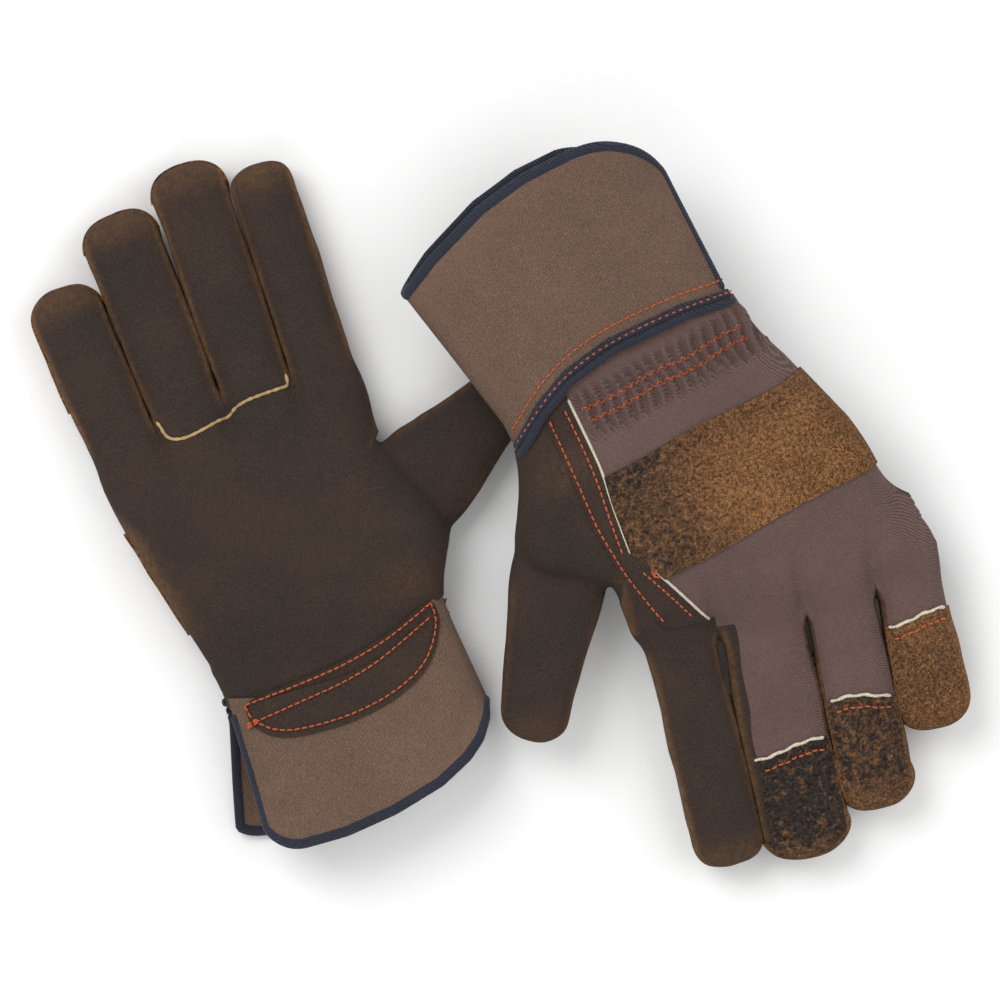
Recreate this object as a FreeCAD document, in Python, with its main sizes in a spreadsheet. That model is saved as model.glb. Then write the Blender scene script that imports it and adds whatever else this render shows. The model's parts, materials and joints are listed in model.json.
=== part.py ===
"""A pair of leather and canvas work gloves, the left one lying on the right one's thumb.

Each glove is cut and sewn from flat pieces: a palm and a canvas back, five finger stalls, each with a
front, a back and the strip between them, leather tips, a knuckle strap, and a stiff two-piece cuff with a
bound edge. Every piece is a PartDesign body drawn in its own plane and laid in its glove's frame:
+X towards the thumb, +Y towards the fingers, Z up from the table. The right glove lies palm up, and the
left one palm down.
"""
import FreeCAD, Part

import math
import os

import Sketcher
from FreeCAD import Placement, Rotation, Vector

X_AXIS, Y_AXIS, Z_AXIS = Vector(1, 0, 0), Vector(0, 1, 0), Vector(0, 0, 1)
GLOVES = ("right", "left")
FINGERS = ("index", "middle", "ring", "little")
STALLS = FINGERS + ("thumb",)
CAPPED = ("middle", "ring", "little")

# ---------------------------------------------------------------- driving dimensions, in mm and degrees
COMMON = {
    "leather": 1.8,
    "canvas": 1.6,
    "overlay": 1.2,
    "lining": 0.8,
    "finger_half": 10.5,
    "thumb_half": 9.5,
    "strip_half": 3.0,
    "hand_half": 15.0,
    "cuff_half": 18.0,
    "finger_round": 5.5,
    "hand_round": 9.0,
    "cuff_round": 13.0,
    "cap_length": 44.0,
    "strap_low": 29.0,
    "strap_high": 73.0,
    "binding_width": 4.0,
    "piping_width": 3.5,
    "thread": 0.8,
    "thread_height": 0.4,
    "elastic_low": 1.0,
    "elastic_width": 12.0,
    "welt_width": 1.6,
    "welt_drop": 9.0,
    "panel_low": 3.0,
    "panel_high": 87.0,
    "panel_width": 10.0,
    "strap_margin": 6.0,
    "lining_margin": 13.0,
    "lining_low": 24.0,
    "lining_high": 80.0,
    "piping_drop": 2.0,
    "cap_margin": 0.4,
}
# rows of thread: x from the panel's edge and top end; y over the elastic; y over the patch
PANEL_ROWS = ((3, 85), (7, 76))
ELASTIC_ROWS = (3.5, 9.0)
PATCH_ROWS = (-4.5, -9.5)
ROW_MARGIN = 5
# stall: x and y of the middle of its mouth, lean from +Y towards the thumb, width at the mouth, length
STALL_TABLE = {
    "right": {
        "index": (31.2, 103.5, 1.7, 24.4, 87.5),
        "middle": (4.8, 105.0, 1.2, 27.0, 95.0),
        "ring": (-22.9, 104.5, -1.2, 27.0, 86.5),
        "little": (-50.4, 103.5, -3.4, 26.4, 67.5),
        "thumb": (50.9, 54.2, 65.0, 42.0, 55.0),
    },
    "left": {
        "index": (28.4, 97.0, 13.8, 27.6, 93.0),
        "middle": (-6.0, 104.3, 15.9, 27.6, 99.0),
        "ring": (-33.9, 110.8, 16.4, 26.8, 87.0),
        "little": (-61.0, 116.6, 16.8, 26.0, 63.0),
        "thumb": (58.5, 57.5, 38.0, 37.0, 60.0),
    },
}
THUMB_TIP = 13.4
# hand outline, anticlockwise from the wrist: thumb mouth (side 2), finger mouths (side 4), wrist (side 8)
HAND_TABLE = {
    "right": [
        (44, 0), (45, 12), (58.9, 34.7), (41.1, 72.8), (43.4, 102), (-63.4, 102), (-60, 65),
        (-48, 18), (-48, 0),
    ],
    "left": [
        (50, 0), (51, 14), (72.4, 45.7), (43.2, 68.4), (43.6, 91.5), (-72.2, 118), (-71, 70),
        (-55, 20), (-50, 0),
    ],
}
HAND_OPEN = (2, 4, 8)
# how far flat pieces keep from a rounded edge, and from each other
FLAT_MARGIN = 2
SEAM = 0.5
# the half-moon patch on the palm side of the cuff, as (x, y)
PATCH = [(-34, -2), (-33, -13), (-24, -20), (20, -19), (30, -10), (31, -2)]
# cuff outline: little side, hem, thumb side, wrist, as (x, y), its hem between the second and third points
CUFF_TABLE = {
    "right": [(-48, 0), (-50, -58), (46.5, -58), (45, 0)],
    "left": [(-50, 0), (-50, -80), (59, -80), (50, 0)],
}
CUFF_OPEN = (1, 3)
# the left glove's place over the right one
LEFT_PLACE = {"left_x": 139.2, "left_y": 67.4, "left_turn": -172.0, "left_tilt": -6.5, "left_lift": 23.2}


def fill_sheet(doc):
    """The spreadsheet with every driving dimension, one row each."""
    sheet = doc.addObject("Spreadsheet::Sheet", "dims")
    rows = dict(COMMON, thumb_tip=THUMB_TIP, **LEFT_PLACE)
    for glove in GLOVES:
        for stall, values in STALL_TABLE[glove].items():
            for word, value in zip(("x", "y", "lean", "width", "length"), values):
                rows[f"{glove}_{stall}_{word}"] = value
    for row, (alias, value) in enumerate(rows.items(), start=1):
        sheet.set(f"A{row}", alias)
        sheet.set(f"B{row}", str(value))
        sheet.setAlias(f"B{row}", alias)
    doc.recompute()
    return sheet


doc = FreeCAD.newDocument("work_gloves")
dims = fill_sheet(doc)
PIECES = set()
PLACED = []


def dim(alias):
    return float(dims.get(alias))


# ---------------------------------------------------------------- frames
def glove_frame(glove):
    """The glove's own frame in the row's frame, before the row is centred."""
    if glove == "right":
        return Placement()
    turn = Rotation(Z_AXIS, dim("left_turn")).multiply(Rotation(X_AXIS, dim("left_tilt")))
    return Placement(Vector(dim("left_x"), dim("left_y"), dim("left_lift")), turn)


def palm_up(glove):
    return glove == "right"


def upper(glove, side):
    """True where this side of the glove, palm or back, is the one away from the table."""
    return (side == "palm") == palm_up(glove)


def stall_frame(glove, stall):
    """The stall's frame in its glove's frame: +Y along the stall, Z at the table."""
    x, y, lean = (dim(f"{glove}_{stall}_{word}") for word in ("x", "y", "lean"))
    return Placement(Vector(x, y, 0), Rotation(Z_AXIS, -lean))


def stall_half(stall):
    return dim("thumb_half" if stall == "thumb" else "finger_half")


def turned(glove, side, frame, height):
    """Lays a body drawn on XY, growing in +Z, at a height, turned over where it faces the table."""
    flip = Rotation() if upper(glove, side) else Rotation(Y_AXIS, 180)
    return glove_frame(glove).multiply(frame).multiply(Placement(Vector(0, 0, height), flip))


# ---------------------------------------------------------------- sketches and features
def new_body(label):
    body = doc.addObject("PartDesign::Body", "body_" + label)
    body.Label = label
    PIECES.add(body.Name)
    return body


def new_sketch(body, height=None):
    sketch = body.newObject("Sketcher::SketchObject", "sketch_" + body.Label)
    plane = next(f for f in body.Origin.OriginFeatures if f.Role == "XY_Plane")
    sketch.AttachmentSupport = (plane, [""])
    sketch.MapMode = "FlatFace"
    if height:
        sketch.setExpression("AttachmentOffset.Base.z", height)
    return sketch


def draw_polygon(sketch, points):
    """A closed outline of straight sides."""
    count = len(points)
    corners = [Vector(x, y, 0) for x, y in points]
    for n in range(count):
        sketch.addGeometry(Part.LineSegment(corners[n], corners[(n + 1) % count]), False)
    return sketch


def draw_stall(sketch, width, length, tip_radius):
    """A stall's outline: a straight mouth on X, tapered sides and a round tip, sizes given as formulas."""
    left, right, top = Vector(-10, 0, 0), Vector(10, 0, 0), Vector(0, 40, 0)
    sketch.addGeometry(Part.LineSegment(left, right), False)
    sketch.addGeometry(Part.LineSegment(right, Vector(9, 40, 0)), False)
    sketch.addGeometry(Part.ArcOfCircle(Part.Circle(top, Z_AXIS, 9), 0, math.pi), False)
    sketch.addGeometry(Part.LineSegment(Vector(-9, 40, 0), left), False)
    add = sketch.addConstraint
    add(Sketcher.Constraint("Coincident", 0, 2, 1, 1))
    add(Sketcher.Constraint("Tangent", 1, 2, 2, 1))
    add(Sketcher.Constraint("Tangent", 2, 2, 3, 1))
    add(Sketcher.Constraint("Coincident", 3, 2, 0, 1))
    add(Sketcher.Constraint("Symmetric", 0, 1, 0, 2, -1, 1))
    add(Sketcher.Constraint("PointOnObject", 2, 3, -2))
    for kind, places, formula in (
        ("DistanceX", (0, 1, 0, 2), width),
        ("DistanceY", (-1, 1, 2, 3), f"{length} - ({tip_radius})"),
        ("Radius", (2,), tip_radius),
    ):
        start = {"DistanceX": 20.0, "DistanceY": 40.0, "Radius": 9.0}[kind]
        number = add(Sketcher.Constraint(kind, *places, start))
        sketch.setExpression(f"Constraints[{number}]", formula)
    return sketch


def pad(body, sketch, formula):
    feature = body.newObject("PartDesign::Pad", "pad_" + body.Label)
    feature.Profile = sketch
    feature.setExpression("Length", formula)
    sketch.Visibility = False
    return feature


def place(item, placement):
    item.Placement = placement
    PLACED.append(item)
    return item


def round_top(body, base, formula, skip):
    """Rounds the edges of the top face, except those whose middle skip() says are open ends."""
    doc.recompute()
    shape = base.Shape
    top = shape.BoundBox.ZMax
    names = []
    for n, edge in enumerate(shape.Edges, start=1):
        box = edge.BoundBox
        middle = edge.valueAt((edge.FirstParameter + edge.LastParameter) / 2)
        if abs(box.ZMin - top) < 1e-6 and abs(box.ZMax - top) < 1e-6 and not skip(middle):
            names.append(f"Edge{n}")
    fillet = body.newObject("PartDesign::Fillet", "round_" + body.Label)
    fillet.Base = (base, names)
    fillet.setExpression("Radius", formula)
    return fillet


def shell(body, base, formula, is_open):
    """Hollows the body from each face that is_open() names."""
    doc.recompute()
    names = [f"Face{n}" for n, face in enumerate(base.Shape.Faces, start=1) if is_open(face)]
    feature = body.newObject("PartDesign::Thickness", "shell_" + body.Label)
    feature.Base = (base, names)
    feature.setExpression("Value", formula)
    feature.Reversed = True
    feature.Join = 1
    return feature


def is_mouth(face):
    """True for the flat upright face of a stall that lies on its X axis."""
    upright = isinstance(face.Surface, Part.Plane) and abs(face.normalAt(0, 0).z) < 1e-6
    return upright and face.BoundBox.YMax < 1e-6


# ---------------------------------------------------------------- stalls
def stall_sizes(glove, stall):
    width = f"dims.{glove}_{stall}_width"
    length = f"dims.{glove}_{stall}_length"
    radius = "dims.thumb_tip" if stall == "thumb" else f"{width} / 2 - 0.01"
    return width, length, radius


def make_stall_half(glove, stall, side, wall):
    """The front or back of a stall: a tray with its mouth open."""
    body = new_body(f"{glove}_{stall}_{'front' if side == 'palm' else 'back'}")
    width, length, radius = stall_sizes(glove, stall)
    band = "dims.strip_half" if stall in FINGERS else "0"
    half = "dims.thumb_half" if stall == "thumb" else "dims.finger_half"
    base = pad(body, draw_stall(new_sketch(body), width, length, radius), f"{half} - {band}")
    rounded = round_top(body, base, "dims.finger_round", lambda at: at.y < 1e-6)
    shell(body, rounded, f"dims.{wall}", lambda face: is_mouth(face) or face.BoundBox.ZMax < 1e-6)
    offset = dim("strip_half") if stall in FINGERS else 0.0
    height = stall_half(stall) + (offset if upper(glove, side) else -offset)
    return place(body, turned(glove, side, stall_frame(glove, stall), height))


def make_strip(glove, finger):
    """The strip sewn between a finger's front and back, round both sides and the tip."""
    body = new_body(f"{glove}_{finger}_side_strip")
    width, length, radius = stall_sizes(glove, finger)
    base = pad(body, draw_stall(new_sketch(body), width, length, radius), "2 * dims.strip_half")
    shell(body, base, "dims.leather", lambda face: is_mouth(face) or face.BoundBox.ZLength < 1e-6)
    low = stall_half(finger) - dim("strip_half")
    top_side = "palm" if palm_up(glove) else "back"
    return place(body, turned(glove, top_side, stall_frame(glove, finger), low))


def make_cap(glove, finger):
    """The leather tip laid over the end of a finger's canvas back."""
    body = new_body(f"{glove}_{finger}_tip_cap")
    width, length, _ = stall_sizes(glove, finger)
    margin = "(dims.finger_round + dims.cap_margin)"
    tip = f"{width} / 2 - {margin} - 0.01"
    sketch = draw_stall(new_sketch(body), f"{width} - 2 * {margin}", f"dims.cap_length - {margin}", tip)
    pad(body, sketch, "dims.overlay")
    start = dim(f"{glove}_{finger}_length") - dim("cap_length")
    frame = stall_frame(glove, finger).multiply(Placement(Vector(0, start, 0), Rotation()))
    height = 2 * stall_half(finger) if upper(glove, "back") else 0.0
    return place(body, turned(glove, "back", frame, height))


# ---------------------------------------------------------------- hand and cuff
def mirrored(points, flip):
    return [(-x, y) for x, y in points] if flip else list(points)


def on_side(points, n, at):
    """True where a point lies on side n of an outline."""
    (x0, y0), (x1, y1) = points[n], points[(n + 1) % len(points)]
    run = math.hypot(x1 - x0, y1 - y0)
    return abs((x1 - x0) * (at.y - y0) - (y1 - y0) * (at.x - x0)) / run < 0.01


def inset(points, open_sides, wall):
    """The outline moved in by wall on its closed sides, and left in place on its open ones."""
    count = len(points)
    lines = []
    for n in range(count):
        (x0, y0), (x1, y1) = points[n], points[(n + 1) % count]
        run = math.hypot(x1 - x0, y1 - y0)
        move = 0.0 if n in open_sides else wall
        normal = (-(y1 - y0) / run, (x1 - x0) / run)
        lines.append((x0 + move * normal[0], y0 + move * normal[1], (x1 - x0) / run, (y1 - y0) / run))
    corners = []
    for n in range(count):
        ax, ay, au, av = lines[n - 1]
        bx, by, bu, bv = lines[n]
        along = ((bx - ax) * bv - (by - ay) * bu) / (au * bv - av * bu)
        corners.append((ax + along * au, ay + along * av))
    return corners


def rounded_block(label, outline, open_sides, height, radius):
    """A pad on an outline, its top edges rounded except on the open sides."""
    body = new_body(label)
    base = pad(body, draw_polygon(new_sketch(body), outline), height)
    round_top(body, base, radius, lambda at: any(on_side(outline, n, at) for n in open_sides))
    return body


def make_tray(glove, side, label, points, open_sides, half, rounding, wall, base_height):
    """Half of the hand or cuff: a rounded tray with some of its sides open, hollow towards Z 0."""
    flip = not upper(glove, side)
    outline = mirrored(points, flip)
    inner = mirrored(inset(points, open_sides, dim(wall)), flip)
    outside = rounded_block(label + "_outside", outline, open_sides, f"dims.{half}", f"dims.{rounding}")
    inside = rounded_block(
        label + "_inside", inner, open_sides, f"dims.{half} - dims.{wall}", f"dims.{rounding} - dims.{wall}"
    )
    tray = doc.addObject("Part::Cut", "cut_" + label)
    tray.Label = label
    tray.Base, tray.Tool = outside, inside
    PIECES.difference_update({outside.Name, inside.Name})
    PIECES.add(tray.Name)
    return place(tray, turned(glove, side, Placement(), base_height))


def plate(glove, side, label, outlines, height, thickness="overlay"):
    """A thin flat piece, or several alike, growing outwards from a height on one side of the glove."""
    body = new_body(label)
    body.AllowCompound = True
    sketch = new_sketch(body)
    for outline in outlines:
        draw_polygon(sketch, mirrored(outline, not upper(glove, side)))
    pad(body, sketch, f"dims.{thickness}")
    return place(body, turned(glove, side, Placement(), height))


def band(start, end, low, high):
    """A rectangle across the glove from x start to x end."""
    return [(start, low), (end, low), (end, high), (start, high)]


def face_height(glove, side, base, half, out=0.0):
    """The height of one side's outer face, moved outwards by out."""
    return base + 2 * half + out if upper(glove, side) else base - out


def gather(label, bodies):
    """One sub-part of several separate solids."""
    group = doc.addObject("Part::Compound", "group_" + label)
    group.Label = label
    group.Links = bodies
    for body in bodies:
        PIECES.discard(body.Name)
    PIECES.add(group.Name)
    return group


def make_hand(glove):
    """The palm and back of the hand, with what is sewn to them and what lies inside."""
    points = HAND_TABLE[glove]
    base = dim("overlay")
    middle = base + dim("hand_half")
    make_tray(glove, "palm", f"{glove}_palm", points, HAND_OPEN, "hand_half", "hand_round", "leather", middle)
    make_tray(glove, "back", f"{glove}_back", points, HAND_OPEN, "hand_half", "hand_round", "canvas", middle)
    back = face_height(glove, "back", base, dim("hand_half"))
    palm = face_height(glove, "palm", base, dim("hand_half"))
    panel_width = dim("panel_width")
    little_side = points[5][0] + dim("hand_round") + dim("strap_margin")
    thumb_side = points[4][0] - dim("hand_round") - panel_width - FLAT_MARGIN
    strap = band(little_side, thumb_side, dim("strap_low"), dim("strap_high"))
    plate(glove, "back", f"{glove}_knuckle_strap", [strap], back)
    panel = band(thumb_side + SEAM, thumb_side + panel_width, dim("panel_low"), dim("panel_high"))
    plate(glove, "back", f"{glove}_thumb_side_panel", [panel], back)
    inside = dim("canvas") + dim("lining")
    elastic_end = points[8][0] + dim("hand_round") + FLAT_MARGIN
    elastic = band(elastic_end, thumb_side, dim("elastic_low"), dim("elastic_low") + dim("elastic_width"))
    height = face_height(glove, "back", base, dim("hand_half"), -inside)
    plate(glove, "back", f"{glove}_wrist_elastic", [elastic], height, "lining")
    inside = dim("leather") + dim("lining")
    lining_end = thumb_side + panel_width - 2 * FLAT_MARGIN
    lining = band(little_side + dim("lining_margin"), lining_end, dim("lining_low"), dim("lining_high"))
    height = face_height(glove, "palm", base, dim("hand_half"), -inside)
    plate(glove, "palm", f"{glove}_palm_lining", [lining], height, "lining")
    ring, long = STALL_TABLE[glove]["ring"], STALL_TABLE[glove]["middle"]
    seam = min(ring[1], long[1]) - dim("welt_drop")
    welt = band(ring[0] - ring[3] / 2, long[0] + long[3] / 2, seam, seam + dim("welt_width"))
    plate(glove, "palm", f"{glove}_finger_seam_welt", [welt], palm)
    return back, thumb_side, elastic_end


def make_cuff(glove, wrist):
    """The stiff cuff in two halves, its bound hem, the wrist piping, the patch and the rows of stitching."""
    back, thumb_side, elastic_end = wrist
    points = CUFF_TABLE[glove]
    middle = dim("cuff_half")
    for side, word in (("palm", "front"), ("back", "back")):
        label = f"{glove}_cuff_{word}"
        make_tray(glove, side, label, points, CUFF_OPEN, "cuff_half", "cuff_round", "canvas", middle)
    (left, hem), (right, _) = points[1], points[2]
    end = hem - dim("binding_width")
    edge = [(left, hem), (left, end), (right, end), (right, hem)]
    halves = []
    for side, word in (("palm", "front"), ("back", "back")):
        label = f"{glove}_binding_{word}"
        half = make_tray(glove, side, label, edge, CUFF_OPEN, "cuff_half", "cuff_round", "leather", middle)
        halves.append(half)
    gather(f"{glove}_cuff_binding", halves)
    palm_face = face_height(glove, "palm", 0, dim("cuff_half"))
    back_face = face_height(glove, "back", 0, dim("cuff_half"))
    plate(glove, "palm", f"{glove}_wrist_patch", [PATCH], palm_face)
    flat_start = points[0][0] + dim("cuff_round") + FLAT_MARGIN / 2
    flat_end = points[3][0] - dim("cuff_round") - FLAT_MARGIN / 2
    piping = band(flat_start, flat_end, -dim("piping_drop") - dim("piping_width"), -dim("piping_drop"))
    plate(glove, "back", f"{glove}_wrist_piping", [piping], back_face)
    thread, out = dim("thread"), dim("overlay")
    up = out if upper(glove, "back") else -out
    panel_rows = []
    for across, high in PANEL_ROWS:
        x = thumb_side + across
        panel_rows.append(band(x, x + thread, ROW_MARGIN, high))
    elastic_rows = [band(elastic_end, thumb_side - SEAM, y, y + thread) for y in ELASTIC_ROWS]
    start, end = PATCH[0][0] + ROW_MARGIN, PATCH[-1][0] - ROW_MARGIN
    patch_rows = [band(start, end, y, y + thread) for y in PATCH_ROWS]
    out = out if upper(glove, "palm") else -out
    rows = [
        plate(glove, "back", f"{glove}_panel_thread", panel_rows, back + up, "thread_height"),
        plate(glove, "back", f"{glove}_elastic_thread", elastic_rows, back, "thread_height"),
        plate(glove, "palm", f"{glove}_patch_thread", patch_rows, palm_face + out, "thread_height"),
    ]
    gather(f"{glove}_stitching", rows)


def settle():
    """Moves every piece so that the row stands on Z 0, centred on X and Y."""
    doc.recompute()
    box = FreeCAD.BoundBox()
    for name in PIECES:
        box.add(doc.getObject(name).Shape.BoundBox)
    shift = Vector(-box.Center.x, -box.Center.y, -box.ZMin)
    for item in PLACED:
        item.Placement = Placement(shift, Rotation()).multiply(item.Placement)
    doc.recompute()
    return shift


def write_parts():
    """Checks every object, then writes each sub-part's solids."""
    failed = [item.Name for item in doc.Objects if {"Invalid", "Error"} & set(item.State)]
    for name in sorted(PIECES):
        shape = doc.getObject(name).Shape
        if shape.isNull() or not shape.isValid() or not shape.Solids:
            failed.append(name)
    if failed:
        raise RuntimeError(f"these did not build: {failed}")
    os.makedirs("parts", exist_ok=True)
    for name in sorted(PIECES):
        item = doc.getObject(name)
        item.Shape.exportStep(f"parts/{item.Label}.step")


for glove_name in GLOVES:
    make_cuff(glove_name, make_hand(glove_name))
    for stall_name in STALLS:
        back_wall = "canvas" if stall_name in CAPPED else "leather"
        make_stall_half(glove_name, stall_name, "palm", "leather")
        make_stall_half(glove_name, stall_name, "back", back_wall)
    for finger_name in FINGERS:
        make_strip(glove_name, finger_name)
    for finger_name in CAPPED:
        make_cap(glove_name, finger_name)
SHIFT = settle()
write_parts()
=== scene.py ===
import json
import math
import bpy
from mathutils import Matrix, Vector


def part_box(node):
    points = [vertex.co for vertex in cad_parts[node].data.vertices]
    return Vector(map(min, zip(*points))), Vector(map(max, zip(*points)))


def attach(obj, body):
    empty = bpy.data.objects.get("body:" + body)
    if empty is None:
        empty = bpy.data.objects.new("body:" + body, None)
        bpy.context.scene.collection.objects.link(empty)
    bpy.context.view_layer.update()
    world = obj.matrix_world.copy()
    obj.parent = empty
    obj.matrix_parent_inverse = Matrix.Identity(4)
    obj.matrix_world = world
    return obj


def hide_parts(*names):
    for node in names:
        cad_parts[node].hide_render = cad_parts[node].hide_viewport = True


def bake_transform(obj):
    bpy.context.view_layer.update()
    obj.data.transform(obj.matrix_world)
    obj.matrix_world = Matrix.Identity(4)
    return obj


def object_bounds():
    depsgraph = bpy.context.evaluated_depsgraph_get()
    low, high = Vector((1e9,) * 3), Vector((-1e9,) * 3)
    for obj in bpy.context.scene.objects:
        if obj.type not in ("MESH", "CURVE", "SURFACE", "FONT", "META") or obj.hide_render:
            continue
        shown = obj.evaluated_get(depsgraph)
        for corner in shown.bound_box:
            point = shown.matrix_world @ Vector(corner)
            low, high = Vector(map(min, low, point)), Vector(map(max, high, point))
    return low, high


bl_info = {
    "name": "Canvas and Leather Work Gloves",
    "version": (1, 0, 0),
    "blender": (4, 5, 0),
    "location": "View3D > Sidebar > Gloves",
    "description": "Makes a pair of sewn work gloves round a packed frame, with materials and a plain stage",
    "category": "Add Mesh",
}

import bpy
import numpy as np
from mathutils import Matrix, Vector, noise

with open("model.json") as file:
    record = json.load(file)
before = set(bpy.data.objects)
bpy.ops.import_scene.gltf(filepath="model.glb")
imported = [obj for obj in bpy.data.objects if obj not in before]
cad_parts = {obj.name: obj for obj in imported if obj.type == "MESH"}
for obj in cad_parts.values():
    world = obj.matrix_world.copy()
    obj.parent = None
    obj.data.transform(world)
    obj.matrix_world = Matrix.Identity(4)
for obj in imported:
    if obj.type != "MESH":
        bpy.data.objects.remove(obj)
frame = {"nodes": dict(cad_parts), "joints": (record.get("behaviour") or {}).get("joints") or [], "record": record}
CAD_BOX = [list(corner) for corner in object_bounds()]

MM = 0.001
GLOVES = ("right", "left")
FINGERS = ("index", "middle", "ring", "little")
STALLS = FINGERS + ("thumb",)
CAPPED = ("middle", "ring", "little")
# The powers of the rounded sections: 2 is an ellipse, and a higher power is squarer.
ROUNDNESS = 2.4
BOXINESS = 2.9
# In millimetres: what lies lower than SETTLED is squeezed above FLOOR_GAP, and STEP is the cell of the grid.
SETTLED = 4.0
FLOOR_GAP = 0.2
STEP = 1.1
# How far the corner is filled where a thumb or a finger grows out of the hand, in millimetres.
THUMB_FILLET = 3
FINGER_FILLET = 5
# Where along a stall, in millimetres from its mouth, a joint's blend would start and end; make_object works out
# these ends but nothing uses them.
FINGER_BEND = (-2.0, 13.0)
THUMB_BEND = (-2.0, 16.0)

# Outlines laid out in each glove's own frame, in millimetres: x towards the thumb, y to the fingertips,
# from the middle of the wrist seam.
HAND_OUTLINE = {
    "right": [(44, -30), (44, 0), (46, 14), (58, 35), (42.6, 69.5), (41, 73), (41.2, 77), (42.6, 110),
              (-63, 109), (-59.5, 65), (-53, 36), (-48.5, 16), (-48, 0), (-48, -30)],
    "left": [(50, -30), (50, 2), (54, 15), (71, 46), (44.8, 66.8), (42, 69), (42.2, 73), (45, 99),
             (-70, 125), (-69, 92), (-68.3, 58), (-58, 25), (-51, 4), (-50, -30)],
}
WRIST_LINE = {
    "right": [(-49, 0), (-30, -6), (0, -8), (20, -5), (35, 3), (46, 13)],
    "left": [(-51, -6), (-30, -10.5), (0, -12), (20, -9), (35, -2.5), (50, 8)],
}
CUFF_SIDES = {
    "right": {"little": [(16, -48), (0, -48), (-30, -49.5), (-64, -52)],
              "thumb": [(16, 44.5), (0, 45), (-30, 47.5), (-64, 48.5)],
              "splay": [(16, -48), (-8, -50), (-30, -56.5), (-64, -66)]},
    "left": {"little": [(16, -50.5), (-10, -50), (-50, -50.5), (-88, -51)],
             "thumb": [(16, 50), (-5, 50), (-35, 55), (-66, 60.5), (-88, 63)],
             "splay": [(16, -50.5), (-10, -49), (-50, -44), (-88, -42)]},
}
CUFF_HEM = {
    "right": [(-62, -60), (-43, -62), (-20, -63.5), (0, -62), (20, -58), (33, -52.5), (40, -47.5), (45, -41),
              (48.5, -33)],
    "left": [(-52, -83), (-38, -84), (-20, -87), (0, -87.5), (20, -84.5), (45, -76), (62, -67.5)],
}
PATCH_EDGE = [(-41, -11), (-36, -17), (-30, -20.5), (-20, -22.5), (-5, -23.5), (10, -22), (22, -18.5),
              (31, -13.5), (37, -6), (41, 3), (40.5, 12)]
PATCH_STRETCH = {"right": 1.0, "left": 1.1}
# Lines up the back, each as y and then x.
WELT_LINE = [(-10, 23.5), (-3, 24), (25, 25), (40, 28), (60, 30.5), (64, 28), (72, 24.5), (98, 15.5), (112, 11)]
THUMB_ROW = [(-10, 33), (2, 34), (25, 35.5), (45, 37.2), (65, 36), (85, 33), (100, 27.5), (112, 19.5)]

# What is added to a stall's CAD length, and to its CAD width on the index finger's side, in millimetres.
REACH = {"left_thumb": 4.0}
FLANGE = {"left_middle": 5.0}
# How much a finger fills out past its mouth, as a share of its width, and how soiled its leather tip is.
SWELL = {"index": 0.015, "middle": 0.07, "ring": 0.10, "little": 0.08}
CAP_SOIL = {"middle": 1.7, "ring": 1.2, "little": 0.55}


def smooth(value):
    """A step from 0 to 1 with level ends."""
    value = np.clip(value, 0, 1)
    return value * value * (3 - 2 * value)


def table(points, at):
    """A second column read off against the first, which rises or falls."""
    points = sorted(points)
    return np.interp(at, [p[0] for p in points], [p[1] for p in points])


def rounded(points, rounds=3):
    """A closed outline with its corners cut again and again, which leaves them round."""
    points = np.array(points, float)
    for _ in range(rounds):
        after = np.roll(points, -1, axis=0)
        points = np.stack([0.8 * points + 0.2 * after, 0.2 * points + 0.8 * after], 1).reshape(-1, 2)
    return points


def eased(points, count=60):
    """An open line through the points, resampled evenly with its corners softened."""
    points = np.array(points, float)
    for _ in range(3):
        inner = np.stack([0.75 * points[:-1] + 0.25 * points[1:], 0.25 * points[:-1] + 0.75 * points[1:]], 1)
        points = np.vstack([points[:1], inner.reshape(-1, points.shape[1])[1:-1], points[-1:]])
    far = np.concatenate([[0], np.cumsum(np.linalg.norm(np.diff(points, axis=0), axis=1))])
    at = np.linspace(0, far[-1], count)
    return np.stack([np.interp(at, far, column) for column in points.T], 1)


def outline_distance(outline, x, y):
    """The distance from a closed outline, below zero inside it."""
    nearest = np.full(np.shape(x), 1e9)
    inside = np.zeros(np.shape(x), bool)
    for (ax, ay), (bx, by) in zip(outline, np.roll(outline, -1, axis=0)):
        ex, ey = bx - ax, by - ay
        share = np.clip(((x - ax) * ex + (y - ay) * ey) / (ex * ex + ey * ey), 0, 1)
        nearest = np.minimum(nearest, np.hypot(x - ax - share * ex, y - ay - share * ey))
        crosses = (ay > y) != (by > y)
        inside ^= crosses & (x < ax + (y - ay) * ex / (ey if ey else 1e-9))
    return np.where(inside, -nearest, nearest)


def melt(one, other, width):
    """The union of two solids with the corner between them filled."""
    share = np.clip(0.5 + 0.5 * (other - one) / width, 0, 1)
    return other * (1 - share) + one * share - width * share * (1 - share)


def node_points(*names):
    """Every vertex of these CAD nodes, in the row frame in metres."""
    return np.array([v.co for name in names for v in frame["nodes"][name].data.vertices], float)


def profile(inward, width):
    """How full a rounded edge is, from 0 at the outline to 1 at this distance in from it."""
    out = np.clip(1 - inward / width, 0, 1)
    return (1 - out**ROUNDNESS) ** (1 / ROUNDNESS)


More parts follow.
